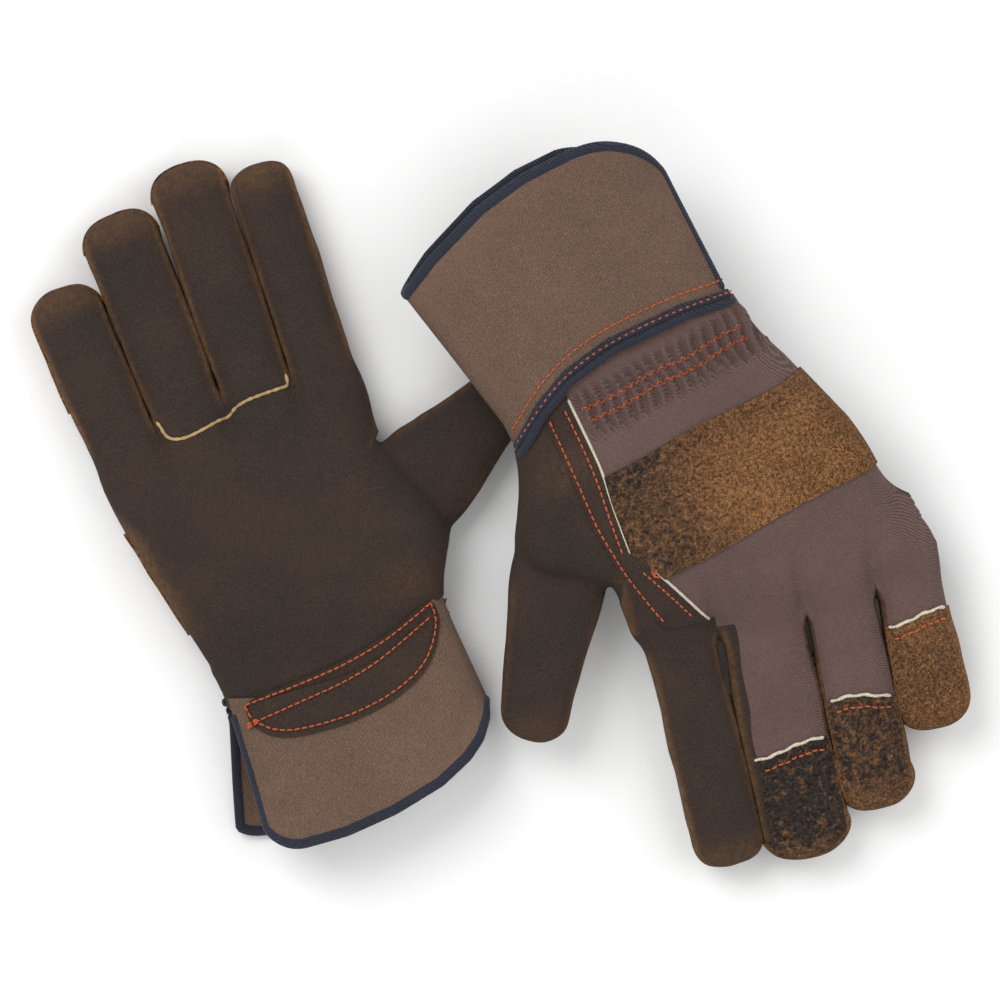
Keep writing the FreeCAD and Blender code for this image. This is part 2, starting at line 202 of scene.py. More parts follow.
class Stall:
    """One finger or thumb of a glove: its line from mouth to tip, and its widths, in the glove's frame."""

    def __init__(self, glove, name):
        self.name = name
        joint = next(j for j in frame["joints"] if j["child"] == f"{glove.name}_{name}")
        points = glove.inward(node_points(f"{glove.name}_{name}_front", f"{glove.name}_{name}_back"))
        axis = np.array(joint["axis"]) @ glove.turn
        along = np.cross((0, 0, 1), axis)[:2]
        if abs(axis[2]) > 0.5:
            flat = points[:, :2] - points[:, :2].mean(0)
            along = np.linalg.svd(flat, full_matrices=False)[2][0]
        along = along / np.linalg.norm(along)
        self.along = along if along @ (points[:, :2].mean(0) - (0, 50)) > 0 else -along
        self.side = np.array([self.along[1], -self.along[0]])
        far, across = points[:, :2] @ self.along, points[:, :2] @ self.side
        self.origin = self.along * far.min() + self.side * (across.min() + across.max()) / 2
        self.body = f"{glove.name}_{name}"
        self.length = far.max() - far.min() + REACH.get(self.body, 0)
        self.flange = FLANGE.get(self.body, 0)
        self.waist = 0.0 if glove.name == "right" or name == "thumb" else 0.07
        self.half = (across.max() - across.min()) / 2 + self.flange / 2
        self.origin = self.origin + self.side * self.flange / 2
        self.low, self.high = points[:, 2].min(), points[:, 2].max()
        self.tip = self.half * 0.96 if name != "thumb" else 13.6
        self.blunt = 2.9 if name == "index" else ROUNDNESS

    def plan(self, x, y):
        """Across and along the stall."""
        dx, dy = x - self.origin[0], y - self.origin[1]
        return dx * self.side[0] + dy * self.side[1], dx * self.along[0] + dy * self.along[1]

    def half_width(self, far):
        """Half the stall's width this far along it."""
        if self.name == "thumb":
            narrowed = smooth(far / (self.length - self.tip) * 0.85 + 0.05) / 0.97
            return self.half + (self.tip - self.half) * narrowed
        waist = self.waist * np.exp(-(((far - 20) / 14) ** 2))
        return self.half * (1.01 + SWELL[self.name] * smooth(far / 34) - waist)

    def half_height(self, far):
        """Half the stall's thickness this far along it, sinking away behind the mouth."""
        full = (self.high - self.low) / 2
        share = np.clip(far / self.length, 0, 1)
        sunk = 1 - 0.42 * smooth(-far / 26)
        return full * (1.02 - 0.1 * share) * sunk

    def flat_field(self, x, y):
        """How far out a point of the plan is, 1 on the stall's edge."""
        across, far = self.plan(x, y)
        beyond = np.maximum(0, far - (self.length - self.tip)) / self.tip
        behind = np.maximum(0, -far - 6) / (24 if self.name != "thumb" else 30)
        total = (np.abs(across) / self.half_width(far)) ** self.blunt + beyond**self.blunt + behind**self.blunt
        return total ** (1 / self.blunt)

    def middle(self, far):
        """The height of the stall's middle this far along it."""
        return self.low + self.half_height(np.maximum(far, 0)) * 0.98

    def field(self, x, y, z):
        """Roughly the distance from the stall's surface, below zero inside it."""
        far = self.plan(x, y)[1]
        height = self.half_height(far)
        up = np.abs(z - self.middle(far)) / height
        return ((self.flat_field(x, y) ** BOXINESS + up**BOXINESS) ** (1 / BOXINESS) - 1) * height


class Glove:
    """A glove's frame, sizes and solid form, all in millimetres in its own frame."""

    def __init__(self, name):
        self.name = name
        mouth = next(m for m in frame["record"]["mounts"] if m["name"] == f"{name}_cuff_mouth")
        along = -np.array(mouth["axis"])
        hinges = {j["child"]: np.array(j["axis"]) for j in frame["joints"]}
        up = np.cross(hinges[f"{name}_index"], hinges[f"{name}_little"])
        up = up / np.linalg.norm(up) * np.sign(up[2])
        self.turn = np.stack([np.cross(along, up), along, up], 1)
        mine = node_points(*[n for n in frame["nodes"] if n.startswith(name)]) @ self.turn
        palm = node_points(f"{name}_palm") @ self.turn
        middle = np.array(mouth["pos_m"]) @ self.turn
        self.zero = np.array([middle[0], palm[:, 1].min(), mine[:, 2].min()]) @ self.turn.T
        self.palm_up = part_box(f"{name}_palm")[1].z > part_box(f"{name}_back")[1].z
        self.outline = rounded(HAND_OUTLINE[name])
        self.stalls = {s: Stall(self, s) for s in STALLS}
        self.thick = self.inward(node_points(f"{name}_palm", f"{name}_back"))[:, 2].max() - 0.6
        self.order = [self.stalls[s] for s in STALLS]
        self.webs = []
        for one, other in zip(self.order[:3], self.order[1:4]):
            corners = one.origin - one.side * one.half, other.origin + other.side * other.half
            self.webs.append((sum(corners) / 2, (one.along + other.along) / 2))

    def inward(self, points):
        """Points of the row frame, in metres, put in the glove's frame."""
        return (points - self.zero) @ self.turn * 1000

    def outward(self, points):
        """Points of the glove's frame put in the row frame, in metres."""
        return points @ self.turn.T * MM + self.zero

    def hand_height(self, y):
        """Half the hand's thickness: full over the palm, thinner at the wrist and at the finger mouths."""
        full = self.thick / 2
        return full * (0.80 + 0.20 * smooth((y + 4) / 34) - 0.22 * smooth((y - 66) / 40))

    def hand_middle(self, y):
        """The height of the hand's middle."""
        return 0.6 + self.hand_height(y)

    def edge_width(self, y):
        """How far in from the outline the hand's rounded edge reaches."""
        return 26 - 8 * smooth(y / 50)

    def hand_field(self, x, y, z):
        """Roughly the distance from the surface of the hand alone, below zero inside it."""
        height = self.hand_height(y)
        out = np.clip(1 + outline_distance(self.outline, x, y) / self.edge_width(y), 0, None)
        up = np.abs(z - self.hand_middle(y)) / height
        return ((out**ROUNDNESS + up**ROUNDNESS) ** (1 / ROUNDNESS) - 1) * height

    def owner(self, stall, x, y):
        """Above zero where the plan belongs to this stall: nearer to it than to the others, past its mouth."""
        own = stall.flat_field(x, y)
        rest = np.min([s.flat_field(x, y) for s in self.order if s is not stall], 0)
        return np.minimum((rest - own) * 12, stall.plan(x, y)[1] + 3)

    def field(self, x, y, z, stall=None):
        """The same for the hand with one stall, or with them all."""
        hand = self.hand_field(x, y, z)
        if stall:
            return melt(hand, stall.field(x, y, z), THUMB_FILLET if stall.name == "thumb" else FINGER_FILLET)
        fingers = np.min([s.field(x, y, z) for s in self.order[:4]], 0)
        return melt(melt(hand, self.stalls["thumb"].field(x, y, z), THUMB_FILLET), fingers, FINGER_FILLET)

    def drop(self, plan, top=True, stall=None):
        """Points of the plan put on the upper or lower skin, with the skin's normals."""
        plan = np.array(plan, float)
        x, y = plan[:, 0], plan[:, 1]
        low, high = np.full(len(plan), 15.0), np.full(len(plan), 48.0 if top else -14.0)
        low = np.where(self.field(x, y, low, stall) < 0, low, 8.0)
        for _ in range(22):
            half = (low + high) / 2
            inside = self.field(x, y, half, stall) < 0
            low, high = np.where(inside, half, low), np.where(inside, high, half)
        points = np.stack([x, y, low], 1)
        normals = self.gradient(points, stall)
        return points + normals * self.relief(points, normals, stall)[:, None], normals

    def gradient(self, points, stall=None, reach=0.35):
        """The direction in which the field grows, as unit vectors."""
        slopes = []
        for axis in range(3):
            step = np.zeros(3)
            step[axis] = reach
            ahead, behind = points + step, points - step
            slopes.append(self.field(*ahead.T, stall) - self.field(*behind.T, stall))
        slopes = np.stack(slopes, 1)
        return slopes / np.maximum(np.linalg.norm(slopes, axis=1, keepdims=True), 1e-9)

    def relief(self, points, normals, stall=None):
        """How far the sewn skin stands out from the plain form."""
        x, y, _ = points.T
        swell = unevenness(points, self.name, 26) * 0.75 + unevenness(points, self.name, 9) * 0.28
        wave = unevenness(points * (1, 0.45, 1), self.name, 5) * 0.12
        out = swell + wave + unevenness(points * (1, 0.35, 1), self.name, 8) * 0.4 * smooth((y - 50) / 30)
        for place, along in self.webs:
            across = (x - place[0]) * along[1] - (y - place[1]) * along[0]
            behind = -(x - place[0]) * along[0] - (y - place[1]) * along[1]
            fold = smooth(1 - behind / 26) * smooth((behind + 7) / 6)
            out = out - 2.4 * np.exp(-((across / 3.0) ** 2)) * fold
        back = (normals[:, 2] > 0.2) != self.palm_up
        if stall is None:
            gather = smooth((y + 6) / 6) * smooth((19 - y) / 7) * smooth((table(WELT_LINE, y) - x) / 4)
            ripple = 1.7 * np.sin(x * 1.35 + 1.2 * np.sin(y * 0.3 + x * 0.1)) - 0.8
            out = out + np.where(back, gather * ripple, 0)
            seam = np.minimum(np.abs(x - table(WELT_LINE, y)), np.abs(x - table(THUMB_ROW, y)))
            out = out - np.where(back, 0.5 * np.exp(-((seam / 1.3) ** 2)), 0)
        return out


def unevenness(points, word, size):
    """Soft lumps of about this size, from -1 to 1, the same at each run."""
    offset = Vector((len(word) * 17.3, size * 3.1, 4.7))
    return np.array([noise.noise(Vector(p) / size + offset) for p in points])


def net(field, low, step):
    """The closed surface where a grid of values crosses zero: points and triangles."""
    inside = field < 0
    count = np.zeros(tuple(n - 1 for n in field.shape), np.int8)
    corners = [(i, j, k) for i in (0, 1) for j in (0, 1) for k in (0, 1)]
    shape = count.shape
    for i, j, k in corners:
        count += inside[i:i + shape[0], j:j + shape[1], k:k + shape[2]]
    cells = np.argwhere((count > 0) & (count < 8))
    total, hits = np.zeros((len(cells), 3)), np.zeros(len(cells))
    for a in corners:
        for axis in range(3):
            if a[axis]:
                continue
            b = tuple(1 if n == axis else a[n] for n in range(3))
            va, vb = (field[tuple((cells + corner).T)] for corner in (a, b))
            cross = (va < 0) != (vb < 0)
            place = np.tile(np.array(a, float), (len(cells), 1))
            place[:, axis] += va / np.where(cross, va - vb, 1)
            total[cross] += place[cross]
            hits += cross
    points = np.array(low) + (cells + total / hits[:, None]) * step
    number = np.full(shape, -1)
    number[tuple(cells.T)] = np.arange(len(cells))
    faces = []
    for axis in range(3):
        one, two = [n for n in range(3) if n != axis]
        ahead = np.take(inside, range(1, field.shape[axis]), axis)
        behind = np.take(inside, range(0, field.shape[axis] - 1), axis)
        edges = np.argwhere(ahead != behind)
        edges = edges[(edges[:, one] > 0) & (edges[:, two] > 0)]
        edges = edges[(edges[:, one] < field.shape[one] - 1) & (edges[:, two] < field.shape[two] - 1)]
        quad = []
        for back_one, back_two in ((1, 1), (0, 1), (0, 0), (1, 0)):
            cell = edges.copy()
            cell[:, one] -= back_one
            cell[:, two] -= back_two
            quad.append(number[tuple(cell.T)])
        quad = np.stack(quad, 1)
        flip = ahead[tuple(edges.T)] == (axis != 1)
        quad[flip] = quad[flip][:, ::-1]
        faces.append(quad)
    quads = np.vstack(faces)
    return points, np.vstack([quads[:, [0, 1, 2]], quads[:, [0, 2, 3]]])


class Skin:
    """A surface with, at each point, its place, its normal and its wear."""

    def __init__(self, rows, triangles):
        self.rows, self.triangles = rows, triangles

    place = property(lambda self: self.rows[:, :3])
    normal = property(lambda self: self.rows[:, 3:6])

    def clip(self, value):
        """The part where value is above zero, cut cleanly along the line where it is zero."""
        value = np.where(np.abs(value) < 1e-6, 1e-6, value)
        inside = value > 0
        triangles = self.triangles
        number = inside[triangles].sum(1)
        lone_in, lone_out = triangles[number == 1], triangles[number == 2]
        turn_in = np.argmax(inside[lone_in], 1)
        turn_out = np.argmin(inside[lone_out], 1)
        a, b, c = (lone_in[np.arange(len(lone_in)), (turn_in + n) % 3] for n in range(3))
        d, e, f = (lone_out[np.arange(len(lone_out)), (turn_out + n) % 3] for n in range(3))
        edges = np.concatenate([np.stack(p, 1) for p in ((a, b), (a, c), (e, d), (f, d))])
        keys, back = np.unique(edges, axis=0, return_inverse=True)
        back = back.reshape(-1) + len(self.rows)
        one, two = value[keys[:, 0]], value[keys[:, 1]]
        share = (one / (one - two))[:, None]
        new = self.rows[keys[:, 0]] * (1 - share) + self.rows[keys[:, 1]] * share
        sizes = np.cumsum([len(a), len(a), len(d), len(d)])
        ab, ac, ed, fd = np.split(back, sizes[:3])
        faces = [triangles[number == 3]]
        faces += [np.stack(corners, 1) for corners in ((a, ab, ac), (ed, e, f), (ed, f, fd))]
        return Skin(np.vstack([self.rows, new]), np.vstack(faces)).packed()

    def packed(self):
        """The same without points that no triangle uses."""
        used, back = np.unique(self.triangles, return_inverse=True)
        return Skin(self.rows[used], back.reshape(-1, 3))

    def with_normals(self):
        """Normals from the faces round each point."""
        corners = self.place[self.triangles]
        facing = np.cross(corners[:, 1] - corners[:, 0], corners[:, 2] - corners[:, 0])
        total = np.zeros((len(self.rows), 3))
        for n in range(3):
            np.add.at(total, self.triangles[:, n], facing)
        self.rows[:, 3:6] = total / np.maximum(np.linalg.norm(total, axis=1, keepdims=True), 1e-12)
        return self

    def rim(self):
        """The edges that only one triangle has, in its direction."""
        edges = np.vstack([self.triangles[:, [0, 1]], self.triangles[:, [1, 2]], self.triangles[:, [2, 0]]])
        ordered = np.sort(edges, 1)
        _, back, count = np.unique(ordered, axis=0, return_inverse=True, return_counts=True)
        return edges[count[back.reshape(-1)] == 1]


def surface(glove, stall=None):
    """The skin of the hand, or of one stall with the part of the hand that it grows from."""
    if stall:
        tip = stall.origin + stall.along * stall.length
        low = np.minimum(stall.origin, tip) - stall.half - 12
        high = np.maximum(stall.origin, tip) + stall.half + 12
    else:
        low, high = glove.outline.min(0) - 6, glove.outline.max(0) + 30
    axes = [np.arange(start, end, STEP) for start, end in (*zip(low, high), (-3, glove.thick + 5))]
    x, y, z = np.meshgrid(*axes, indexing="ij", sparse=True)
    x, y = np.broadcast_arrays(x, y)
    points, triangles = net(glove.field(x, y, z, stall), [a[0] for a in axes], STEP)
    for _ in range(3):
        points = points - glove.gradient(points, stall) * glove.field(*points.T, stall)[:, None] * 0.8
    normals = glove.gradient(points, stall)
    points = points + normals * glove.relief(points, normals, stall)[:, None]
    rows = np.concatenate([points, normals, np.zeros((len(points), 1))], 1)
    skin = Skin(rows, triangles).with_normals()
    if stall:
        return skin.clip(glove.owner(stall, points[:, 0], points[:, 1]))
    for other in glove.order:
        skin = skin.clip(-glove.owner(other, skin.rows[:, 0], skin.rows[:, 1]))
    return skin


def thicken(skin, out, inward):
    """A closed piece from a skin: an outer face, an inner face and the cut edge between them."""
    outer = skin.place + skin.normal * out
    inner = skin.place - skin.normal * inward
    count = len(outer)
    edge = skin.rim()
    rim = np.vstack([
        np.stack([edge[:, 1], edge[:, 0], edge[:, 0] + count], 1),
        np.stack([edge[:, 1], edge[:, 0] + count, edge[:, 1] + count], 1),
    ])
    triangles = np.vstack([skin.triangles, skin.triangles[:, ::-1] + count, rim])
    points = np.vstack([outer, inner])
    corners = points[rim]
    facing = np.cross(corners[:, 1] - corners[:, 0], corners[:, 2] - corners[:, 0])
    facing /= np.maximum(np.linalg.norm(facing, axis=1, keepdims=True), 1e-9)
    normals = np.concatenate([
        skin.normal[skin.triangles].reshape(-1, 3), -skin.normal[skin.triangles[:, ::-1]].reshape(-1, 3),
        np.repeat(facing, 3, axis=0),
    ])
    inside = np.zeros(len(triangles), int)
    inside[len(skin.triangles):2 * len(skin.triangles)] = 1
    wear = np.tile(skin.rows[:, 6], 2)
    return points, triangles, normals, inside, wear


def settle(points):
    """Points in metres with whatever lies near the floor squeezed into a thin layer above it."""
    over = (points[:, 2] - CAD_BOX[0][2]) / MM
    pressed = FLOOR_GAP + (SETTLED - FLOOR_GAP) * np.exp((over - SETTLED) / (SETTLED - FLOOR_GAP))
    points[:, 2] = CAD_BOX[0][2] + MM * np.where(over < SETTLED, pressed, over)
    return points


def make_object(glove, name, parts, slot_name, body, inner_slot=None):
    """A mesh object from closed pieces laid out in a glove's frame."""
    points, triangles, normals, inside, wear = [], [], [], [], []
    start = 0
    for p, t, n, i, w in parts:
        points.append(p)
        triangles.append(t + start)
        normals.append(n)
        inside.append(i)
        wear.append(w)
        start += len(p)
    points, triangles, normals = np.vstack(points), np.vstack(triangles), np.vstack(normals)
    mesh = bpy.data.meshes.new(name)
    mesh.vertices.add(len(points))
    mesh.vertices.foreach_set("co", settle(glove.outward(points)).astype(np.float32).ravel())
    mesh.loops.add(triangles.size)
    mesh.loops.foreach_set("vertex_index", triangles.astype(np.int32).ravel())
    mesh.polygons.add(len(triangles))
    mesh.polygons.foreach_set("loop_start", np.arange(0, triangles.size, 3, dtype=np.int32))
    mesh.materials.append(finish(slot_name))
    if inner_slot:
        mesh.materials.append(finish(inner_slot))
        mesh.polygons.foreach_set("material_index", np.concatenate(inside).astype(np.int32))
    mesh.polygons.foreach_set("use_smooth", np.ones(len(triangles), bool))
    cloth = mesh.attributes.new("cloth", "FLOAT_VECTOR", "POINT")
    cloth.data.foreach_set("vector", points.astype(np.float32).ravel())
    worn = mesh.attributes.new("wear", "FLOAT", "POINT")
    worn.data.foreach_set("value", np.concatenate(wear).astype(np.float32))
    mesh.update(calc_edges=True)
    mesh.normals_split_custom_set((normals @ glove.turn.T).tolist())
    obj = bpy.data.objects.new(name, mesh)
    bpy.context.scene.collection.objects.link(obj)
    if isinstance(body, Stall):
        bend = THUMB_BEND if body.name == "thumb" else FINGER_BEND
        ends = (np.array([*(body.origin + body.along * far), body.low]) for far in bend)
        f"{glove.name}_hand"
        body.body
        [tuple(glove.outward(end)) for end in ends]
        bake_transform(obj)
    else:
        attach(obj, body)
    return obj


def tube(path, normals, wide, tall, closed=False, sides=10, taper=True):
    """A closed cord of oval section along a path: wide across the skin and tall above it."""
    path, normals = np.array(path, float), np.array(normals, float)
    count = len(path)
    if closed:
        tangent = np.roll(path, -1, axis=0) - np.roll(path, 1, axis=0)
    else:
        tangent = np.gradient(path, axis=0)
    tangent /= np.maximum(np.linalg.norm(tangent, axis=1, keepdims=True), 1e-9)
    across = np.cross(tangent, normals)
    across /= np.maximum(np.linalg.norm(across, axis=1, keepdims=True), 1e-9)
    over = np.cross(across, tangent)
    wide = np.broadcast_to(np.asarray(wide, float), count).copy()
    tall = np.broadcast_to(np.asarray(tall, float), count).copy()
    if taper and not closed:
        for scale in (wide, tall):
            scale[[0, -1]] *= 0.35
    turn = np.linspace(0, 2 * math.pi, sides, endpoint=False)
    ring = path[:, None] + across[:, None] * (wide[:, None] * np.cos(turn))[..., None]
    ring = ring + over[:, None] * (tall[:, None] * np.sin(turn))[..., None]
    facing = across[:, None] * (np.cos(turn) / wide[:, None])[..., None]
    facing = facing + over[:, None] * (np.sin(turn) / tall[:, None])[..., None]
    facing /= np.linalg.norm(facing, axis=2, keepdims=True)
    last = count if closed else count - 1
    i, j = np.meshgrid(np.arange(last), np.arange(sides), indexing="ij")
    a, b = i * sides + j, i * sides + (j + 1) % sides
    c, d = (i + 1) % count * sides + (j + 1) % sides, (i + 1) % count * sides + j
    triangles = np.vstack([np.stack([a, d, c], -1).reshape(-1, 3), np.stack([a, c, b], -1).reshape(-1, 3)])
    points, facing = ring.reshape(-1, 3), facing.reshape(-1, 3)
    if not closed:
        ends = len(points)
        j = np.arange(sides)
        after, last_ring = (j + 1) % sides, (count - 1) * sides
        first = np.stack([np.full(sides, ends), j, after], 1)
        final = np.stack([np.full(sides, ends + 1), last_ring + after, last_ring + j], 1)
        triangles = np.vstack([triangles, first, final])
        points = np.vstack([points, path[:1] - tangent[:1] * tall[0], path[-1:] + tangent[-1:] * tall[-1]])
        facing = np.vstack([facing, -tangent[:1], tangent[-1:]])
    normals = facing[triangles].reshape(-1, 3)
    return points, triangles, normals, np.zeros(len(triangles), int), np.zeros(len(points))


def stitches(path, normals, length=2.2, gap=0.65, width=0.36):
    """A row of separate thread stitches lying in the skin along a path."""
    path, normals = np.array(path, float), np.array(normals, float)
    far = np.concatenate([[0], np.cumsum(np.linalg.norm(np.diff(path, axis=0), axis=1))])
    made = []
    starts = np.arange(0.3, far[-1] - length, length + gap)
    for n, start in enumerate(starts):
        at = start + np.array([0, 0.18, 0.5, 0.82, 1]) * length
        points = np.stack([np.interp(at, far, column) for column in path.T], 1)
        facing = np.stack([np.interp(at, far, column) for column in normals.T], 1)
        arch = np.array([-0.45, 0.12, 0.3, 0.12, -0.45])
        lean = np.cross(facing, points[-1] - points[0]) * (0.035 * math.sin(n * 2.4))
        made.append(tube(points + facing * arch[:, None] + lean * np.linspace(-1, 1, 5)[:, None], facing,
                         width, width * 0.8, sides=6))
    return made


# ---------------------------------------------------------------- finishes

def add_node(tree, kind, place=(0, 0), **values):
    """A shader node with its sockets and settings filled in."""
    node = tree.nodes.new(kind)
    node.location = place
    for key, value in values.items():
        if key in node.inputs:
            node.inputs[key].default_value = value
        else:
            setattr(node, key, value)
    return node


def new_group(name, inputs, outputs):
    """A shader node group with its named sockets, and its two end nodes."""
    tree = bpy.data.node_groups.new(name, "ShaderNodeTree")
    for label, kind, default in inputs:
        socket = tree.interface.new_socket(label, in_out="INPUT", socket_type=kind)
        if default is not None:
            socket.default_value = default
    for label, kind in outputs:
        tree.interface.new_socket(label, in_out="OUTPUT", socket_type=kind)
    return tree, tree.nodes.new("NodeGroupInput"), tree.nodes.new("NodeGroupOutput")


def mix_colour(tree, blend, factor, a, b):
    """A colour mix node; each of factor, a and b is a socket or a value."""
    node = tree.nodes.new("ShaderNodeMix")
    node.data_type, node.blend_type = "RGBA", blend
    for index, value in ((0, factor), (6, a), (7, b)):
        if isinstance(value, bpy.types.NodeSocket):
            tree.links.new(value, node.inputs[index])
        else:
            node.inputs[index].default_value = value
    return node.outputs[2]


def calculate(tree, operation, a, b=0.0, c=0.0, clamp=False):
    """A math node; each of a, b and c is a socket or a value."""
    node = tree.nodes.new("ShaderNodeMath")
    node.operation, node.use_clamp = operation, clamp
    for index, value in enumerate((a, b, c)):
        if isinstance(value, bpy.types.NodeSocket):
            tree.links.new(value, node.inputs[index])
        else:
            node.inputs[index].default_value = value
    return node.outputs[0]


def spread(tree, value, low, high, to_low=0.0, to_high=1.0):
    """A value stretched from one range onto another and held inside it."""
    node = tree.nodes.new("ShaderNodeMapRange")
    node.clamp = True
    tree.links.new(value, node.inputs[0])
    for index, number in enumerate((low, high, to_low, to_high), 1):
        node.inputs[index].default_value = number
    return node.outputs[0]


def noise_at(tree, vector, scale, detail=3.0, rough=0.55, distortion=0.0):
    """A noise texture's value; its scale is a socket or a number."""
    node = add_node(tree, "ShaderNodeTexNoise", Detail=detail, Roughness=rough, Distortion=distortion)
    tree.links.new(vector, node.inputs["Vector"])
    if isinstance(scale, bpy.types.NodeSocket):
        tree.links.new(scale, node.inputs["Scale"])
    else:
        node.inputs["Scale"].default_value = scale
    return node.outputs["Fac"]


def give(tree, made, **sockets):
    """Links a group's results to its output node."""
    for label, socket in sockets.items():
        tree.links.new(socket, made.inputs[label])


def nap_group():
    """Brushed split leather: clumps of nap, single fibres, and large soft stains."""
    tree, given, made = new_group(
        "split_leather_nap",
        [("Vector", "NodeSocketVector", None), ("Clump", "NodeSocketFloat", 0.55),
         ("Fibre", "NodeSocketFloat", 2.2)],
        [("Stain", "NodeSocketFloat"), ("Nap", "NodeSocketFloat"), ("Speck", "NodeSocketFloat"),
         ("Height", "NodeSocketFloat")])
    vector = given.outputs["Vector"]
    stain = spread(tree, noise_at(tree, vector, 0.028, 4, 0.6, 0.3), 0.36, 0.66)
    nap = spread(tree, noise_at(tree, vector, given.outputs["Clump"], 4, 0.7), 0.38, 0.64)
    speck = spread(tree, noise_at(tree, vector, given.outputs["Fibre"], 2, 0.75), 0.42, 0.66)
    fibres = calculate(tree, "MULTIPLY", speck, 0.5)
    height = calculate(tree, "ADD", calculate(tree, "MULTIPLY", nap, 0.6), fibres)
    give(tree, made, Stain=stain, Nap=nap, Speck=speck, Height=height)
    return tree


def weave_group():
    """Woven cloth: threads across and along with a twill's diagonal, and uneven yarn."""
    tree, given, made = new_group(
        "woven_cloth",
        [("Vector", "NodeSocketVector", None), ("Threads", "NodeSocketFloat", 1.0),
         ("Twill", "NodeSocketFloat", 1.0)],
        [("Thread", "NodeSocketFloat"), ("Slub", "NodeSocketFloat"), ("Height", "NodeSocketFloat")])
    parts = tree.nodes.new("ShaderNodeSeparateXYZ")
    tree.links.new(given.outputs["Vector"], parts.inputs[0])
    x, y = parts.outputs[0], calculate(tree, "SUBTRACT", parts.outputs[1], parts.outputs[2])
    wander = calculate(tree, "MULTIPLY", noise_at(tree, given.outputs["Vector"], 0.6, 2), 0.9)
    slant = calculate(tree, "ADD", calculate(tree, "MULTIPLY", y, given.outputs["Twill"]), x)
    slant = calculate(tree, "ADD", slant, wander)
    twill = calculate(tree, "SINE", calculate(tree, "MULTIPLY", slant, given.outputs["Threads"]))
    cross = calculate(tree, "MULTIPLY", y, given.outputs["Threads"])
    cross = calculate(tree, "SINE", calculate(tree, "MULTIPLY_ADD", cross, 1.9, wander))
    cross = calculate(tree, "MULTIPLY", cross, 0.16)
    both = calculate(tree, "ADD", calculate(tree, "MULTIPLY", twill, 0.34), cross)
    thread = calculate(tree, "ADD", both, 0.5, clamp=True)
    slub = spread(tree, noise_at(tree, given.outputs["Vector"], 0.9, 4, 0.7), 0.3, 0.7)
    height = calculate(tree, "ADD", thread, calculate(tree, "MULTIPLY", slub, 0.35))
    give(tree, made, Thread=thread, Slub=slub, Height=height)
    return tree


def wear_group():
    """Rubbed places: the wear painted on the mesh, broken up by nap."""
    tree, given, made = new_group(
        "rubbed_places",
        [("Vector", "NodeSocketVector", None), ("Wear", "NodeSocketFloat", 0.0),
         ("Amount", "NodeSocketFloat", 1.0)],
        [("Mask", "NodeSocketFloat")])
    broken = spread(tree, noise_at(tree, given.outputs["Vector"], 0.35, 5, 0.7), 0.3, 0.7, 0.15, 1.0)
    mask = calculate(tree, "MULTIPLY", calculate(tree, "MULTIPLY", broken, given.outputs["Wear"]),
                     given.outputs["Amount"], clamp=True)
    give(tree, made, Mask=mask)
    return tree


def shared(name):
    """A node group that is built once."""
    build = {"split_leather_nap": nap_group, "woven_cloth": weave_group, "rubbed_places": wear_group}
    return bpy.data.node_groups.get(name) or build[name]()


def start_material(name, roughness, sheen=0.0, sheen_tint=(1, 1, 1)):
    """A material with its Principled shader, and the cloth place and wear that the mesh carries."""
    material = bpy.data.materials.new(name)
    material.use_nodes = True
    tree = material.node_tree
    shader = tree.nodes["Principled BSDF"]
    shader.inputs["Roughness"].default_value = roughness
    shader.inputs["Specular IOR Level"].default_value = 0.1
    shader.inputs["Sheen Weight"].default_value = sheen
    shader.inputs["Sheen Roughness"].default_value = 0.45
    shader.inputs["Sheen Tint"].default_value = (*sheen_tint, 1)
    cloth = add_node(tree, "ShaderNodeAttribute", (-1200, 0), attribute_name="cloth")
    wear = add_node(tree, "ShaderNodeAttribute", (-1200, -300), attribute_name="wear")
    return material, tree, shader, cloth.outputs["Vector"], wear.outputs["Fac"]


def use_group(tree, name, vector, **values):
    """One of the shared groups placed in a material; each value is a socket or a number."""
    node = tree.nodes.new("ShaderNodeGroup")
    node.node_tree = shared(name)
    tree.links.new(vector, node.inputs["Vector"])
    for key, value in values.items():
        if isinstance(value, bpy.types.NodeSocket):
            tree.links.new(value, node.inputs[key])
        else:
            node.inputs[key].default_value = value
    return node


def bump(tree, shader, height, strength, distance):
    """A material's normals tilted by a height."""
    node = add_node(tree, "ShaderNodeBump", Strength=strength, Distance=distance)
    tree.links.new(height, node.inputs["Height"])
    tree.links.new(node.outputs["Normal"], shader.inputs["Normal"])


def darken(tree, colour, value, share):
    """A colour multiplied by a value, as far as this share."""
    grey = tree.nodes.new("ShaderNodeCombineColor")
    for index in range(3):
        tree.links.new(value, grey.inputs[index])
    return mix_colour(tree, "MULTIPLY", share, colour, grey.outputs[0])


